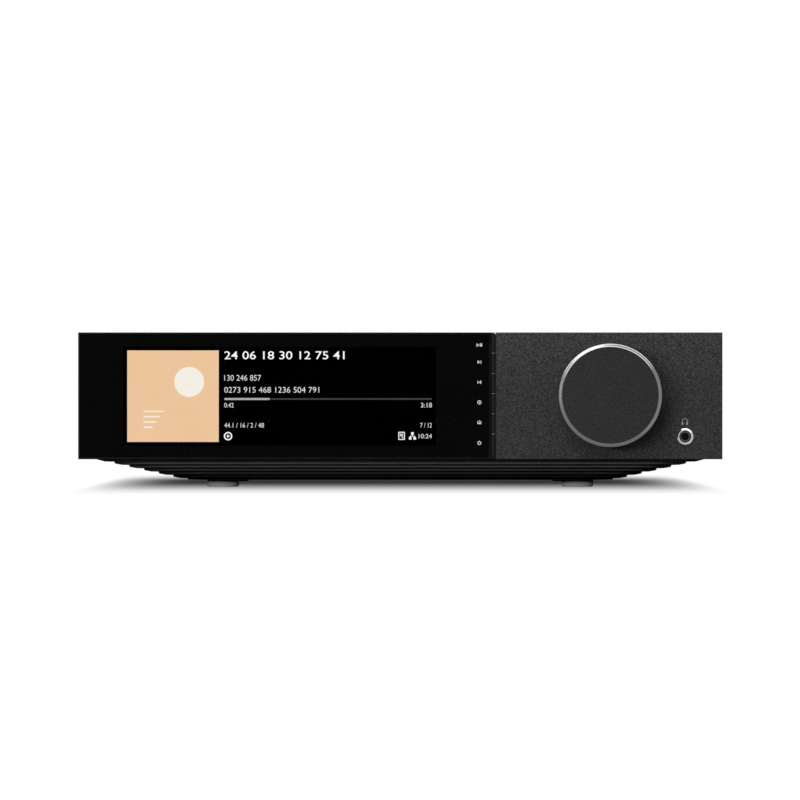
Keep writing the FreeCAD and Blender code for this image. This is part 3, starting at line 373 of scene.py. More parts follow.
finishLooks = {
    "plinth_plastic": {
        "colour": grey(0.08), "roughness": 0.7, "specular": 0.0,
        "grain": (1400.0, even, 0.5, grey(0.1)),
        # the base darkens towards its lowest step: painted shade
        "bump": 0.25, "rubAndHighlight": (0.0003, 0.3, grey(0.09)), "paintedShade": (0.0125, 0.005, 0.96), "dust": 0.04,
    },
    "foot_rubber": {
        # the foot is pale at the floor and darkens towards its top: painted shade under the base
        "colour": grey(0.42), "roughness": 0.85, "specular": 0.0,
        "grain": (900.0, even, 0.6, grey(0.48)),
        "bump": 0.5, "paintedShade": (0.0, 0.0026, 0.78),
    },
    "case_sheet": {
        "colour": grey(0.016), "roughness": 0.7, "specular": 0.04,
        "grain": (1700.0, even, 0.7, grey(0.024)),
        "patches": (25.0, 0.12), "bump": 0.5, "rubAndHighlight": (0.0004, 0.5, grey(0.06)), "dust": 0.03,
    },
    "flute_panel": {
        "colour": grey(0.014), "roughness": 0.6, "specular": 0.04,
        "grain": (1200.0, (1.0, 1.0, 0.15), 0.5, grey(0.02)),
        "bump": 0.3, "rubAndHighlight": (0.0004, 0.4, grey(0.04)),
    },
    "screw_black": {
        "colour": grey(0.025), "roughness": 0.35, "metallic": 0.9,
        "grain": (2500.0, even, 0.5, grey(0.05)),
        "bump": 0.2, "rubAndHighlight": (0.0003, 0.8, grey(0.2)),
    },
    "cast_alloy": {
        "colour": grey(0.4), "roughness": 0.5, "metallic": 1.0,
        "grain": (800.0, even, 0.5, grey(0.28)), "bump": 0.5,
    },
    "front_metal": {
        "colour": grey(0.0005), "second": grey(0.002), "roughness": 0.58, "metallic": 0.3,
        "specular": 0.1,
        "grain": (1900.0, even, 1.0, grey(0.043)), "bump": 0.3, "bumpDepth": 0.00003,
        "specks": (1700.0, 0.45, 0.3, 0.09), "rubAndHighlight": (0.0003, 0.3, grey(0.12)),
        # the panel darkens below its upper part, so its top reads lighter: painted shade
        "paintedShade": (0.074, 0.05, 0.22),
    },
    "frame_metal": {
        "colour": grey(0.001), "roughness": 0.45, "specular": 0.03,
        "grain": (2400.0, even, 0.5, grey(0.003)),
        "bump": 0.2, "rubAndHighlight": (0.0002, 1.0, grey(0.035)),
    },
    # the black mask behind the glass glows with a faint tone of its own: painted light where lamp
    # light hardly reaches it through the glass
    "mask_print": {
        "colour": grey(0.0026), "second": grey(0.0022), "roughness": 0.6, "specular": 0.0,
        "glow": 1.0, "grain": (3000.0, even, 0.3, grey(0.003)),
    },
    "lcd_screen": {
        "colour": grey(0.0001), "roughness": 0.4, "specular": 0.0,
        "grain": (6000.0, even, 0.3, grey(0.0003)),
    },
    "carrier_plastic": {
        "colour": grey(0.05), "roughness": 0.6, "grain": (1200.0, even, 0.5, grey(0.08)),
        "bump": 0.3,
    },
    "circuit_board": {
        "colour": (0.012, 0.075, 0.035, 1.0), "roughness": 0.35,
        "grain": (700.0, (1.0, 0.2, 1.0), 0.6, (0.03, 0.12, 0.05, 1.0)),
        "bump": 0.3, "specks": (260.0, 0.3, 0.3, 0.5),
    },
    "ribbon_film": {
        "colour": grey(0.72, 0.02), "roughness": 0.4,
        "grain": (1500.0, (1.0, 0.01, 0.01), 0.8, grey(0.5, 0.03)), "bump": 0.3,
    },
    "key_metal": {
        "colour": grey(0.002), "roughness": 0.45, "metallic": 0.3, "specular": 0.1,
        "grain": (2600.0, even, 0.6, grey(0.004)),
        # lighter upward chamfers on the keys: painted highlight
        "bump": 0.25, "rubAndHighlight": (0.0002, 0.2, grey(0.1)), "paintedUpHighlight": (0.6, 0.8, grey(0.11)),
    },
    "dial_metal": {
        "colour": grey(0.002), "roughness": 0.5, "metallic": 0.3, "specular": 0.1,
        "grain": (1700.0, even, 1.0, grey(0.023)),
        "bump": 0.2, "bumpDepth": 0.00002, "rubAndHighlight": (0.0003, 0.2, grey(0.08)),
    },
    "trim_metal": {
        "colour": grey(0.17), "second": grey(0.15), "roughness": 0.24, "metallic": 1.0,
        "turned": (dialCentre, 9000.0, 0.5, grey(0.21)),
        "bump": 0.15, "bumpDepth": 0.00001,
    },
    "shaft_steel": {
        "colour": grey(0.5), "roughness": 0.3, "metallic": 1.0,
        "turned": (dialCentre, 6000.0, 0.5, grey(0.35)),
        "bump": 0.3,
    },
    "bright_chrome": {
        "colour": grey(0.55), "second": grey(0.5), "roughness": 0.1, "metallic": 1.0,
        "turned": (nutCentre, 8000.0, 0.3, grey(0.45)),
        "bump": 0.1, "bumpDepth": 0.00001,
    },
    "socket_black": {
        "colour": grey(0.016), "roughness": 0.45, "grain": (1500.0, even, 0.5, grey(0.025)),
        "bump": 0.25,
        "rubAndHighlight": (0.0003, 0.3, grey(0.05)),
    },
    "sink_metal": {
        "colour": grey(0.32), "roughness": 0.38, "metallic": 1.0,
        "grain": (900.0, (1.0, 0.02, 1.0), 0.6, grey(0.22)), "bump": 0.3,
    },
    "core_ferrite": {
        "colour": grey(0.05), "roughness": 0.7, "grain": (1100.0, even, 0.6, grey(0.08)),
        "bump": 0.5,
    },
    "capacitor_sleeve": {
        "colour": (0.02, 0.02, 0.035, 1.0), "roughness": 0.3,
        "grain": (500.0, (1.0, 1.0, 0.1), 0.4, grey(0.04)), "bump": 0.15,
    },
    "can_metal": {
        "colour": grey(0.48), "roughness": 0.35, "metallic": 1.0,
        "grain": (1500.0, (0.05, 1.0, 1.0), 0.5, grey(0.35)), "bump": 0.2,
    },
    "stem_brass": {
        "colour": (0.75, 0.55, 0.25, 1.0), "second": (0.6, 0.42, 0.18, 1.0), "roughness": 0.25,
        "metallic": 1.0,
        "grain": (1800.0, (1.0, 0.1, 1.0), 0.4, (0.85, 0.68, 0.38, 1.0)), "bump": 0.2,
    },
    "cap_red": {
        "colour": (0.42, 0.012, 0.012, 1.0), "roughness": 0.3,
        "grain": (1300.0, even, 0.4, (0.5, 0.03, 0.025, 1.0)),
        "bump": 0.15, "rubAndHighlight": (0.0004, 0.4, (0.6, 0.12, 0.1, 1.0)),
    },
    "cap_black": {
        "colour": grey(0.013), "roughness": 0.3, "grain": (1300.0, even, 0.4, grey(0.02)),
        "bump": 0.15, "rubAndHighlight": (0.0004, 0.4, grey(0.06)),
    },
    "front_glass": {
        "colour": grey(1.0), "second": grey(0.98), "roughness": 0.0, "uneven": 0.0, "ior": 1.01,
        "clear": 1.0,
        "patches": (40.0, 0.3),
    },
}

finishes = {slot: buildFinish(slot, look) for slot, look in finishLooks.items()}

slotOf = {part["node"]: part["material_slot"] for part in frame["record"]["subparts"]}
for name, node in nodes.items():
    node.data.materials.clear()
    node.data.materials.append(finishes[slotOf[name]])
print("finishes on", len(nodes), "nodes")


# pieces of the builder's own, all given in millimetres
def addPiece(name, work, finish, body):
    mesh = bpy.data.meshes.new(name)
    bmesh.ops.recalc_face_normals(work, faces=work.faces)
    work.to_mesh(mesh)
    work.free()
    mesh.materials.append(finish)
    piece = addObject(name, mesh)
    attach(piece, body)


# closed plates from outlines in x and z, each reaching from yFace towards the rear
def addPlates(work, outlines, yFace, thick):
    for outline in outlines:
        near = [work.verts.new((x * mm, yFace * mm, z * mm)) for x, z in outline]
        far = [work.verts.new((x * mm, (yFace + thick) * mm, z * mm)) for x, z in outline]
        work.faces.new(near)
        work.faces.new(far[::-1])
        count = len(outline)
        for index in range(count):
            after = (index + 1) % count
            work.faces.new((near[index], far[index], far[after], near[after]))


# ring or part of a ring between two radii, angles in degrees
def addArc(work, x, z, inner, outer, start, end, yFace, thick, steps=32):
    full = abs(end - start) >= 360
    count = steps if full else steps + 1
    rows = []
    for index in range(count):
        angle = math.radians(start + (end - start) * index / steps)
        across, up = math.cos(angle), math.sin(angle)
        rows.append([
            work.verts.new(((x + radius * across) * mm, y * mm, (z + radius * up) * mm))
            for radius, y in (
                (inner, yFace), (outer, yFace), (outer, yFace + thick), (inner, yFace + thick),
            )
        ])
    for one, two in zip(rows, rows[1:] + rows[:1] if full else rows[1:]):
        for side in range(4):
            after = (side + 1) % 4
            work.faces.new((one[side], two[side], two[after], one[after]))
    if not full:
        work.faces.new(rows[0])
        work.faces.new(rows[-1][::-1])


def circleOutline(x, z, radius, steps=48):
    turns = [2 * math.pi / steps * index for index in range(steps)]
    return [(x + radius * math.cos(turn), z + radius * math.sin(turn)) for turn in turns]


def boxOutline(x, z, width, height, corner=0.0, steps=5):
    if corner <= 0:
        left, right, low, high = x - width / 2, x + width / 2, z - height / 2, z + height / 2
        return [(left, low), (right, low), (right, high), (left, high)]
    points = []
    for quarter, (sx, sz) in enumerate(((1, 1), (-1, 1), (-1, -1), (1, -1))):
        cx = x + sx * (width / 2 - corner)
        cz = z + sz * (height / 2 - corner)
        for index in range(steps + 1):
            angle = math.pi / 2 * (quarter + index / steps)
            points.append((cx + corner * math.cos(angle), cz + corner * math.sin(angle)))
    return points


# bar through four-cornered sections (y, z, half width, half height), closed at both ends
def addBar(work, x, sections):
    loops = [
        [
            work.verts.new(((x + sx * halfWide) * mm, y * mm, (z + sz * halfTall) * mm))
            for sx, sz in ((-1, -1), (1, -1), (1, 1), (-1, 1))
        ]
        for y, z, halfWide, halfTall in sections
    ]
    for one, two in zip(loops, loops[1:]):
        for side in range(4):
            after = (side + 1) % 4
            work.faces.new((one[side], one[after], two[after], two[side]))
    work.faces.new(loops[0][::-1])
    work.faces.new(loops[-1])


printThick = 0.02


# plain digits as a thin print; facing is -1 to the front and 1 to the rear, where they are centred
def addDigits(name, text, left, top, height, yFace, finish, width=0.0, bold=0.0, facing=-1):
    curve = bpy.data.curves.new(name + "Curve", "FONT")
    curve.body = text
    curve.size = 1.0
    curve.offset = bold
    curve.extrude = 0.01
    curve.resolution_u = 4
    holder = addObject(name + "Curve", curve)
    bpy.context.view_layer.update()
    solved = holder.evaluated_get(bpy.context.evaluated_depsgraph_get())
    mesh = bpy.data.meshes.new_from_object(solved)
    bpy.data.objects.remove(holder)
    mesh.name = name
    corners = [vertex.co for vertex in mesh.vertices]
    low = Vector([min(values) for values in zip(*corners)])
    high = Vector([max(values) for values in zip(*corners)])
    up = height * mm / (high.y - low.y)
    across = width * mm / (high.x - low.x) if width > 0 else up
    thick = printThick * mm / (high.z - low.z)
    wide = across * (high.x - low.x) / mm
    end = left + wide / 2
    for vertex in mesh.vertices:
        x = (vertex.co.x - low.x) * across
        z = (vertex.co.y - low.y) * up
        y = (vertex.co.z - low.z) * thick
        if facing < 0:
            vertex.co = (left * mm + x, (yFace + printThick) * mm - y, (top - height) * mm + z)
        else:
            vertex.co = (end * mm - x, (yFace - printThick) * mm + y, (top - height) * mm + z)
    mesh.materials.clear()
    mesh.materials.append(finish)
    piece = addObject(name, mesh)
    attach(piece, "root")


# lit content of the display: plain digits and made-up shapes only
lcdLook = {"left": -136.56, "top": 69.85, "face": -151.51, "layer": 0.03}


# finish that shines by itself, with the same tone under any light
def litFinish(name, first, second, **more):
    look = {"colour": first, "second": second, "roughness": 0.6, "specular": 0.0, "glow": 1.0}
    return buildFinish(name, look | more)


peachLit = litFinish(
    "peachLit", (0.847, 0.565, 0.337, 1.0), (0.82, 0.535, 0.31, 1.0),
    patches=(60.0, 0.5), grain=(4000.0, even, 0.12, (0.78, 0.5, 0.28, 1.0)),
)
creamLit = litFinish(
    "creamLit", (0.905, 0.855, 0.78, 1.0), (0.88, 0.82, 0.73, 1.0), patches=(200.0, 0.6),
)
whiteLit = litFinish("whiteLit", grey(0.95), grey(0.85), patches=(300.0, 0.4))
greyLit = litFinish("greyLit", grey(0.8), grey(0.68), patches=(300.0, 0.4))
paleLit = litFinish("paleLit", grey(0.42), grey(0.36), patches=(300.0, 0.4))
dimLit = litFinish("dimLit", grey(0.055), grey(0.045), patches=(300.0, 0.4))


def lcdX(left):
    return lcdLook["left"] + left


def lcdZ(top):
    return lcdLook["top"] - top


def lcdPlate(name, outlines, finish, layer=0):
    work = bmesh.new()
    addPlates(work, outlines, lcdLook["face"] - layer * lcdLook["layer"], lcdLook["layer"])
    addPiece(name, work, finish, "root")


coverLook = {
    "left": 2.1, "top": 1.7, "side": 45.05, "disc": 7.4, "discX": 30.5, "discZ": 15.5,
    "bars": 4, "barLeft": 8.0, "barTop": 30.0, "barGap": 2.6,
    "barWidth": 10.0, "barShrink": 1.8, "barHeight": 0.7, "barCorner": 0.3,
}
coverSide = coverLook["side"]
groundX = lcdX(coverLook["left"] + coverSide / 2)
groundZ = lcdZ(coverLook["top"] + coverSide / 2)
lcdPlate("cover_ground", [boxOutline(groundX, groundZ, coverSide, coverSide)], peachLit)
discX = lcdX(coverLook["left"] + coverLook["discX"])
discZ = lcdZ(coverLook["top"] + coverLook["discZ"])
lcdPlate("cover_disc", [circleOutline(discX, discZ, coverLook["disc"])], creamLit, 1)

coverBars = []
for index in range(coverLook["bars"]):
    width = coverLook["barWidth"] - coverLook["barShrink"] * index
    x = lcdX(coverLook["left"] + coverLook["barLeft"] + width / 2)
    z = lcdZ(coverLook["top"] + coverLook["barTop"] + coverLook["barGap"] * index)
    coverBars.append(boxOutline(x, z, width, coverLook["barHeight"], coverLook["barCorner"]))
lcdPlate("cover_bars", coverBars, creamLit, 1)

# name, text, left, top, height, width, finish, boldness
lineLooks = [
    ("title_digits", "24 06 18 30 12 75 41", 49.9, 2.07, 4.0, 59.2, whiteLit, 0.004),
    ("second_digits", "130 246 857", 49.9, 13.8, 2.8, 18.05, greyLit, -0.008),
    ("third_digits", "0273 915 468 1236 504 791", 49.9, 19.7, 2.8, 46.7, greyLit, -0.008),
    ("elapsed_digits", "0:42", 49.9, 27.5, 2.3, 4.6, greyLit, -0.004),
    ("total_digits", "3:18", 146.7, 27.5, 2.3, 5.4, greyLit, -0.004),
    ("rate_digits", "44.1 / 16 / 2 / 48", 49.9, 37.4, 2.3, 19.5, greyLit, -0.004),
    ("count_digits", "7 / 12", 146.4, 37.4, 2.3, 5.66, greyLit, -0.004),
    ("clock_digits", "10:24", 145.6, 42.8, 2.2, 6.5, greyLit, -0.004),
]
for name, text, left, top, height, width, finish, bold in lineLooks:
    x, z, y = lcdX(left), lcdZ(top), lcdLook["face"]
    addDigits(name, text, x, z, height, y, finish, width, bold)

barLook = {"left": 49.9, "middle": 25.6}
for name, length, height, corner, finish, layer in (
    ("progress_rest", 102.2, 0.7, 0.3, dimLit, 0),
    ("progress_done", 22.4, 1.0, 0.4, paleLit, 1),
):
    x, z = lcdX(barLook["left"] + length / 2), lcdZ(barLook["middle"])
    lcdPlate(name, [boxOutline(x, z, length, height, corner)], finish, layer)

# round mark: a ring with a play triangle
roundLook = {
    "x": 51.75, "top": 43.9, "inner": 1.45, "outer": 2.07,
    "back": 0.5, "tip": 0.95, "half": 0.85,
}
markX, markZ = lcdX(roundLook["x"]), lcdZ(roundLook["top"])
backX, tipX, half = markX - roundLook["back"], markX + roundLook["tip"], roundLook["half"]
flat = (lcdLook["face"], lcdLook["layer"])
work = bmesh.new()
addArc(work, markX, markZ, roundLook["inner"], roundLook["outer"], 0, 360, *flat)
addPlates(work, [[(backX, markZ - half), (tipX, markZ), (backX, markZ + half)]], *flat)
addPiece("round_mark", work, whiteLit, "root")

# storage mark: an upright box with three slots; network mark: one box above two, joined by lines
# boxes as across, up, width, height
markLooks = {
    "storage_mark": {"x": 137.2, "top": 43.75, "boxes": [
        (0.0, 1.75, 3.2, 0.4), (0.0, -1.75, 3.2, 0.4), (-1.4, 0.0, 0.4, 3.1), (1.4, 0.0, 0.4, 3.1),
        (-0.1, 0.8, 1.7, 0.4), (-0.1, 0.0, 1.7, 0.4), (0.5, -0.85, 0.6, 0.6),
    ]},
    "network_mark": {"x": 142.55, "top": 43.75, "boxes": [
        (0.0, 1.2, 1.3, 1.2), (-1.1, -1.25, 1.3, 1.2), (1.1, -1.25, 1.3, 1.2),
        (0.0, 0.25, 0.3, 0.7), (0.0, -0.2, 2.5, 0.3), (-1.1, -0.5, 0.3, 0.3), (1.1, -0.5, 0.3, 0.3),
    ]},
}
for name, look in markLooks.items():
    x, z = lcdX(look["x"]), lcdZ(look["top"])
    lcdPlate(name, [boxOutline(x + dx, z + dz, *size) for dx, dz, *size in look["boxes"]], whiteLit)
print("display content made")


# pictograms on the glass, one beside each key
legendLook = {
    "x": 38.9, "face": -153.82, "stroke": 0.3, "scale": 0.8,
    "rows": [70.8, 62.4, 52.5, 42.6, 32.8, 22.7],
}
legendLit = litFinish("legendLit", grey(0.95), grey(0.85), roughness=0.5, patches=(400.0, 0.5))
lx = legendLook["x"]
rows = legendLook["rows"]
stroke = legendLook["stroke"]


def mirrored(outlines, x):
    return [[(2 * x - px, pz) for px, pz in outline][::-1] for outline in outlines]


# drawn at full size, then made smaller about the middle of its row
def legend(name, row, outlines, arcs=()):
    work = bmesh.new()
    addPlates(work, outlines, legendLook["face"], printThick)
    for arc in arcs:
        addArc(work, *arc, legendLook["face"], printThick)
    inwards = 1 - legendLook["scale"]
    for vertex in work.verts:
        vertex.co.x += (lx * mm - vertex.co.x) * inwards
        vertex.co.z += (rows[row] * mm - vertex.co.z) * inwards
    addPiece(name, work, legendLit, "root")


# outline of a play triangle as three strokes
def openTriangle(x, z, width, height):
    left, right = x - width / 2, x + width / 2
    slant = stroke * 1.25
    return [
        boxOutline(left + stroke / 2, z, stroke, height),
        [(left, z + height / 2), (left, z + height / 2 - slant), (right - slant, z), (right, z)],
        [(left, z - height / 2 + slant), (left, z - height / 2), (right, z), (right - slant, z)],
    ]


legend("legend_play", 0, openTriangle(lx - 0.85, rows[0], 1.6, 2.0) + [
    boxOutline(lx + side, rows[0], 0.4, 2.0) for side in (0.55, 1.45)
])
skip = openTriangle(lx - 0.3, rows[1], 1.6, 1.9) + [boxOutline(lx + 0.95, rows[1], stroke, 1.9)]
legend("legend_next", 1, skip)
back = [[(px, pz - rows[1] + rows[2]) for px, pz in outline] for outline in mirrored(skip, lx)]
legend("legend_previous", 2, back)
letter = [boxOutline(lx, rows[3] - 0.2, 0.3, 0.8), boxOutline(lx, rows[3] + 0.5, 0.3, 0.3)]
legend("legend_info", 3, letter, [(lx, rows[3], 1.22 - stroke, 1.22, 0, 360)])
hz = rows[4]
legend("legend_home", 4, [
    [(lx - 1.3, hz + 0.3), (lx - 1.3, hz), (lx, hz + 0.8), (lx, hz + 1.1)],
    [(lx, hz + 1.1), (lx, hz + 0.8), (lx + 1.3, hz), (lx + 1.3, hz + 0.3)],
    boxOutline(lx - 1.0, hz - 0.45, stroke, 1.1), boxOutline(lx + 1.0, hz - 0.45, stroke, 1.1),
    boxOutline(lx, hz - 0.9, 2.2, stroke), boxOutline(lx, hz - 0.35, stroke, 0.9),
])
ring = (lx, rows[5] - 0.1, 1.15 - stroke, 1.15, 125, 415)
legend("legend_power", 5, [boxOutline(lx, rows[5] + 0.75, stroke, 1.0)], [ring])

# headphone sign above its socket
signLook = {
    "x": 139.94, "z": 33.13, "face": -154.02, "arcLift": 0.1, "arcInner": 1.2, "arcOuter": 1.42,
    "cups": [(1.31, -0.25, 0.22, 0.7, 0.0), (1.1, -1.0, 0.62, 1.1, 0.2)],
}
signGrey = buildFinish("signGrey", {
    "colour": grey(0.3), "second": grey(0.24), "roughness": 0.55, "specular": 0.2,
    "patches": (500.0, 0.5),
})
work = bmesh.new()
x, z = signLook["x"], signLook["z"]
arc = (signLook["arcInner"], signLook["arcOuter"], 0, 180)
addArc(work, x, z + signLook["arcLift"], *arc, signLook["face"], printThick)
for side in (-1, 1):
    cups = [boxOutline(x + side * across, z + up, *size) for across, up, *size in signLook["cups"]]
    addPlates(work, cups, signLook["face"], printThick)
addPiece("headphone_sign", work, signGrey, "root")
print("front signs made")


# rear side: blades, collars, contacts, shutter and marks
rearLook = {"rear": 156.0, "middle": 45.8}
whitePrint = buildFinish("whitePrint", {
    "colour": grey(0.62), "second": grey(0.52), "roughness": 0.55, "specular": 0.3,
    "patches": (500.0, 0.5),
})
bladeMetal = buildFinish("bladeMetal", {
    "colour": grey(0.6), "roughness": 0.25, "metallic": 1.0,
    "grain": (1500.0, (1.0, 0.05, 1.0), 0.5, grey(0.45)), "bump": 0.2,
})
contactGold = buildFinish("contactGold", {
    "colour": (0.85, 0.6, 0.22, 1.0), "roughness": 0.22, "metallic": 1.0,
    "grain": (2500.0, (1.0, 0.05, 1.0), 0.4, (0.9, 0.7, 0.35, 1.0)), "bump": 0.1,
})
ringWhite = buildFinish("ringWhite", {
    "colour": grey(0.68), "second": grey(0.6), "roughness": 0.4,
    "grain": (1500.0, even, 0.3, grey(0.6)), "bump": 0.1,
})
ringRed = buildFinish("ringRed", {
    "colour": (0.5, 0.015, 0.012, 1.0), "roughness": 0.35,
    "grain": (1500.0, even, 0.3, (0.42, 0.02, 0.02, 1.0)), "bump": 0.1,
})
shutterGrey = buildFinish("shutterGrey", {
    "colour": grey(0.06), "roughness": 0.4, "grain": (1500.0, even, 0.5, grey(0.09)), "bump": 0.2,
})

# three blades of the inlet, each with a small chamfer at its tip
bladeLook = {
    "x": -126.5, "z": 45.8, "pitch": 14.0, "drop": 4.0, "thick": 2.0, "height": 4.0,
    "floor": 142.0, "length": 12.0, "skin": 0.06, "straight": 1.2, "tip": 0.1, "chamfer": 0.25,
}
halfWide = bladeLook["thick"] / 2 + bladeLook["skin"]
halfTall = bladeLook["height"] / 2 + bladeLook["skin"]
bladeEnd = bladeLook["floor"] + bladeLook["length"] + bladeLook["skin"]
work = bmesh.new()
for side in (-1, 0, 1):
    x = bladeLook["x"] + side * bladeLook["pitch"] / 2
    z = bladeLook["z"] + (0.5 - abs(side)) * bladeLook["drop"]
    addBar(work, x, [
        (y, z, halfWide - shrink, halfTall - shrink)
        for y, shrink in (
            (bladeLook["floor"], 0.0), (bladeEnd - bladeLook["straight"], 0.0),
            (bladeEnd - bladeLook["tip"], 0.0), (bladeEnd, bladeLook["chamfer"]),
        )
    ])
addPiece("inlet_blades", work, bladeMetal, "root")

# coloured collars round the four phono jacks
jackCentre = boxCentre("phono_sockets") / mm
collarLook = {"pitch": 15.0, "inner": 4.2, "outer": 5.6, "from": 154.45, "thick": 2.2, "steps": 48}
collar = [collarLook[key] for key in ("inner", "outer")] + [0, 360]
collar += [collarLook[key] for key in ("from", "thick", "steps")]
for name, sign, finish in (("collars_upper", 1, ringWhite), ("collars_lower", -1, ringRed)):
    work = bmesh.new()
    for side in (-1, 1):
        x = jackCentre.x + side * collarLook["pitch"] / 2
        z = jackCentre.z + sign * collarLook["pitch"] / 2
        addArc(work, x, z, *collar)
    addPiece(name, work, finish, "root")

# marks on the rocker, which ride on it
rockerLook = {
    "x": -98.0, "pivotY": 155.6, "z": 45.8, "face": 3.0, "tilt": 9.0, "out": 5.2,
    "thick": 0.03, "gap": 0.01, "lineWidth": 0.5, "lineHeight": 3.2, "inner": 1.2, "outer": 1.7,
}
slope = math.radians(rockerLook["tilt"])
pivot = Vector((rockerLook["x"], rockerLook["pivotY"], rockerLook["z"])) * mm
turnRocker = Matrix.Translation(pivot) @ Matrix.Rotation(slope, 4, "X")
lift = (rockerLook["face"] + math.tan(slope) * rockerLook["out"] + rockerLook["gap"]) * mm
for name, side in (("rocker_mark_line", 1), ("rocker_mark_ring", -1)):
    work = bmesh.new()
    if side > 0:
        line = boxOutline(0.0, 0.0, rockerLook["lineWidth"], rockerLook["lineHeight"])
        addPlates(work, [line], 0.0, rockerLook["thick"])
    else:
        radii = (rockerLook["inner"], rockerLook["outer"])
        addArc(work, 0.0, 0.0, *radii, 0, 360, 0.0, rockerLook["thick"])
    outwards = Matrix.Translation((0.0, lift, side * rockerLook["out"] * mm))
    local = outwards @ Matrix.Rotation(-side * slope, 4, "X")
    bmesh.ops.transform(work, matrix=turnRocker @ local, verts=work.verts)
    addPiece(name, work, whitePrint, "rocker")

# spring contacts of the network jack, their path as y and the drop under the jack's roof
netLow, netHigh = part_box("network_socket")
contactLook = {
    "count": 8, "pitch": 1.02, "width": 0.45, "halfThick": 0.15, "roof": 2.0,
    "path": [(154.0, 0.15), (152.5, 0.3), (143.0, 4.2), (141.0, 4.6)],
}
netMiddle = (netLow.x + netHigh.x) / 2 / mm
netTop = netHigh.z / mm - contactLook["roof"]
work = bmesh.new()
for index in range(contactLook["count"]):
    x = netMiddle + (index - (contactLook["count"] - 1) / 2) * contactLook["pitch"]
    addBar(work, x, [
        (y, netTop - drop, contactLook["width"] / 2, contactLook["halfThick"])
        for y, drop in contactLook["path"]
    ])
addPiece("network_contacts", work, contactGold, "root")

# shutter behind the mouth of the optical socket, with two ribs as up, width, height, corner
shutterLook = {
    "width": 8.2, "height": 7.8, "corner": 1.0, "from": 152.6, "thick": 1.4,
    "ribs": [(2.6, 5.0, 0.6, 0.25), (-2.4, 3.0, 0.5, 0.2)], "ribFrom": 153.95, "ribThick": 0.3,
}
optCentre = boxCentre("optical_socket") / mm
work = bmesh.new()
flap = boxOutline(
    optCentre.x, optCentre.z, shutterLook["width"], shutterLook["height"], shutterLook["corner"],
)
addPlates(work, [flap], shutterLook["from"], shutterLook["thick"])
ribs = [boxOutline(optCentre.x, optCentre.z + up, *size) for up, *size in shutterLook["ribs"]]
addPlates(work, ribs, shutterLook["ribFrom"], shutterLook["ribThick"])
addPiece("optical_shutter", work, shutterGrey, "root")

# plus and minus beside the terminals
postLook = {
    "x": -32.0, "out": 8.0, "pitch": 19.0, "face": 158.48, "thick": 0.03,
    "length": 1.8, "stroke": 0.4, "arm": 0.7, "armLift": 0.55,
}
upper = rearLook["middle"] + postLook["pitch"] / 2
lower = rearLook["middle"] - postLook["pitch"] / 2
work = bmesh.new()
for side in (-1, 1):
    x = postLook["x"] + side * postLook["out"]
    signs = [boxOutline(x, z, postLook["length"], postLook["stroke"]) for z in (upper, lower)]
    for z in (upper + postLook["armLift"], upper - postLook["armLift"]):
        signs.append(boxOutline(x, z, postLook["stroke"], postLook["arm"]))
    addPlates(work, signs, postLook["face"], postLook["thick"])
addPiece("terminal_signs", work, whitePrint, "root")

# plain numbers over the sockets, as text, middle and lower edge
numberLook = {"height": 2.2, "places": [
    ("1", 19.8, 57.5), ("2", 34.8, 57.5), ("3", 58.1, 33.0),
    ("4", 81.3, 34.0), ("5", 105.0, 40.6), ("6", 126.5, 36.6),
]}
for text, x, z in numberLook["places"]:
    high, y = numberLook["height"], rearLook["rear"] + printThick
    addDigits("rear_number_" + text, text, x, z + high, high, y, whitePrint, facing=1)
print("rear pieces made")


# plain studio: white round about, a long softbox above, one in front and a low strip in front
studioLook = {
    "ambient": 0.5, "floorColour": 0.05, "bounceColour": 0.03, "deepest": 0.96,
    # the shade entries shape the painted shadow pool on the floor
    "shadeAcross": (0.105, 0.159), "shadeFront": (0.05, -0.33), "shadeRear": (0.1, 0.36),
    "shadeCurve": 3.0, "floorSize": 12.0, "floorDrop": 0.05,
}
# name, power, size, place, target
softboxes = [
    ("topSoftbox", 21.0, (3.6, 0.45), (-0.2, -0.2, 1.05), (-0.2, -0.2, 0.0)),
    ("frontSoftbox", 33.0, (1.0, 0.8), (-0.5, -1.95, 1.5), (0.0, -0.15, 0.05)),
    ("lowSoftbox", 45.0, (1.2, 0.16), (-1.0, -2.8, 0.27), (0.0, -0.15, 0.03)),
]


# rays that should meet plain white: from the camera, a mirror or through glass
def backgroundRays(tree):
    path = addNode(tree, "ShaderNodeLightPath")
    seen = calc(tree, "MAXIMUM", path.outputs["Is Camera Ray"], path.outputs["Is Glossy Ray"])
    return calc(tree, "MAXIMUM", seen, path.outputs["Is Transmission Ray"])


def addBackground(tree, strength):
    node = addNode(tree, "ShaderNodeBackground")
    node.inputs[0].default_value = (1.0, 1.0, 1.0, 1.0)
    node.inputs[1].default_value = strength
    return node


scene.world = bpy.data.worlds.new("studioWorld")
tree = emptyTree(scene.world)
plain, shown = addBackground(tree, studioLook["ambient"]), addBackground(tree, 1.0)
both = mixShaders(tree, backgroundRays(tree), plain, shown)
feed(tree, both.outputs[0], addNode(tree, "ShaderNodeOutputWorld").inputs[0])
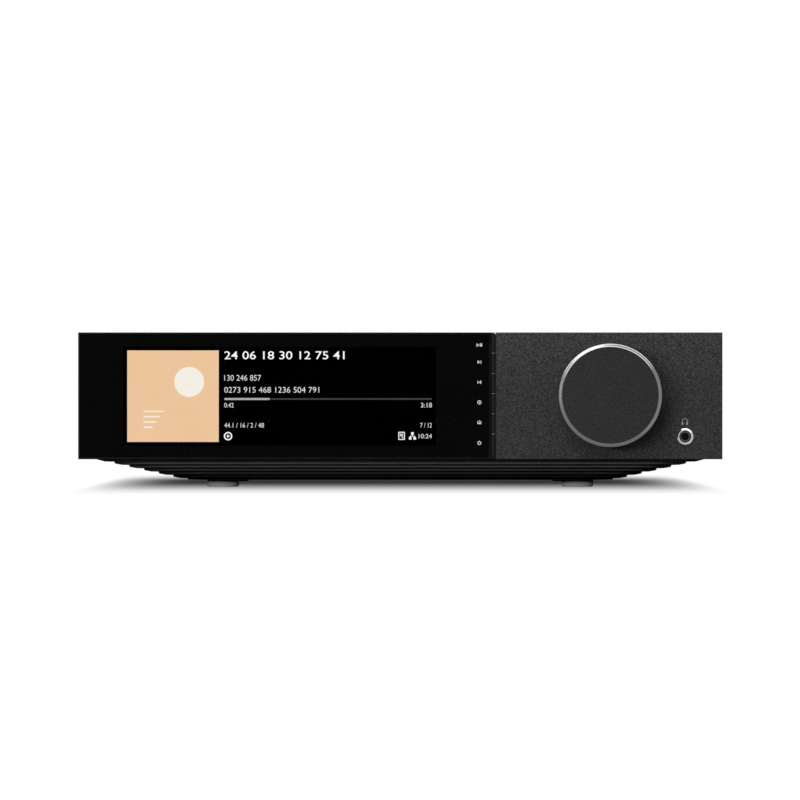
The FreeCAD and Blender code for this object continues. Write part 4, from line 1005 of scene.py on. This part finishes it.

# floor: white where seen, with a painted shadow pool round the part over its real shadow, clear
# from below
floorPaint = bpy.data.materials.new("floorPaint")
tree = emptyTree(floorPaint)
place = splitVector(tree, ownPlace(tree))
outwards = spread(tree, calc(tree, "ABSOLUTE", place[0]), *studioLook["shadeAcross"])
paintedShadow = calc(tree, "SUBTRACT", 1.0, calc(tree, "POWER", outwards, studioLook["shadeCurve"]))
for ramp in (studioLook["shadeFront"], studioLook["shadeRear"]):
    fading = spread(tree, place[1], *ramp, 1.0, 0.0, "SMOOTHSTEP")
    paintedShadow = calc(tree, "MULTIPLY", paintedShadow, fading)
far = calc(tree, "SUBTRACT", 1.0, calc(tree, "MULTIPLY", paintedShadow, studioLook["deepest"]))
painted = addNode(tree, "ShaderNodeBsdfDiffuse")
seen = addNode(tree, "ShaderNodeLightPath").outputs["Is Camera Ray"]
bounceTone, floorTone = grey(studioLook["bounceColour"]), grey(studioLook["floorColour"])
feed(tree, blendColour(tree, seen, bounceTone, floorTone), painted.inputs[0])
lit = addNode(tree, "ShaderNodeEmission")
white = calc(tree, "MULTIPLY", backgroundRays(tree), far)
both = mixShaders(tree, white, painted, lit)
below = addNode(tree, "ShaderNodeNewGeometry").outputs["Backfacing"]
through = mixShaders(tree, below, both, addNode(tree, "ShaderNodeBsdfTransparent"))
feed(tree, through.outputs[0], addNode(tree, "ShaderNodeOutputMaterial").inputs[0])

work = bmesh.new()
bmesh.ops.create_grid(work, x_segments=8, y_segments=8, size=studioLook["floorSize"])
floorMesh = bpy.data.meshes.new("studioFloor")
work.to_mesh(floorMesh)
work.free()
floorMesh.materials.append(floorPaint)
studioFloor = addObject("studioFloor", floorMesh)
studioFloor.location.z = -studioLook["floorDrop"] * mm


def addSoftbox(name, power, size, place, target):
    data = bpy.data.lights.new(name, "AREA")
    data.shape = "RECTANGLE"
    data.size, data.size_y = size
    data.energy = power
    lamp = addObject(name, data)
    lamp.location = place
    towards = Vector(target) - Vector(place)
    lamp.rotation_euler = towards.to_track_quat("-Z", "Y").to_euler()


for softbox in softboxes:
    addSoftbox(*softbox)
print("studio lit")
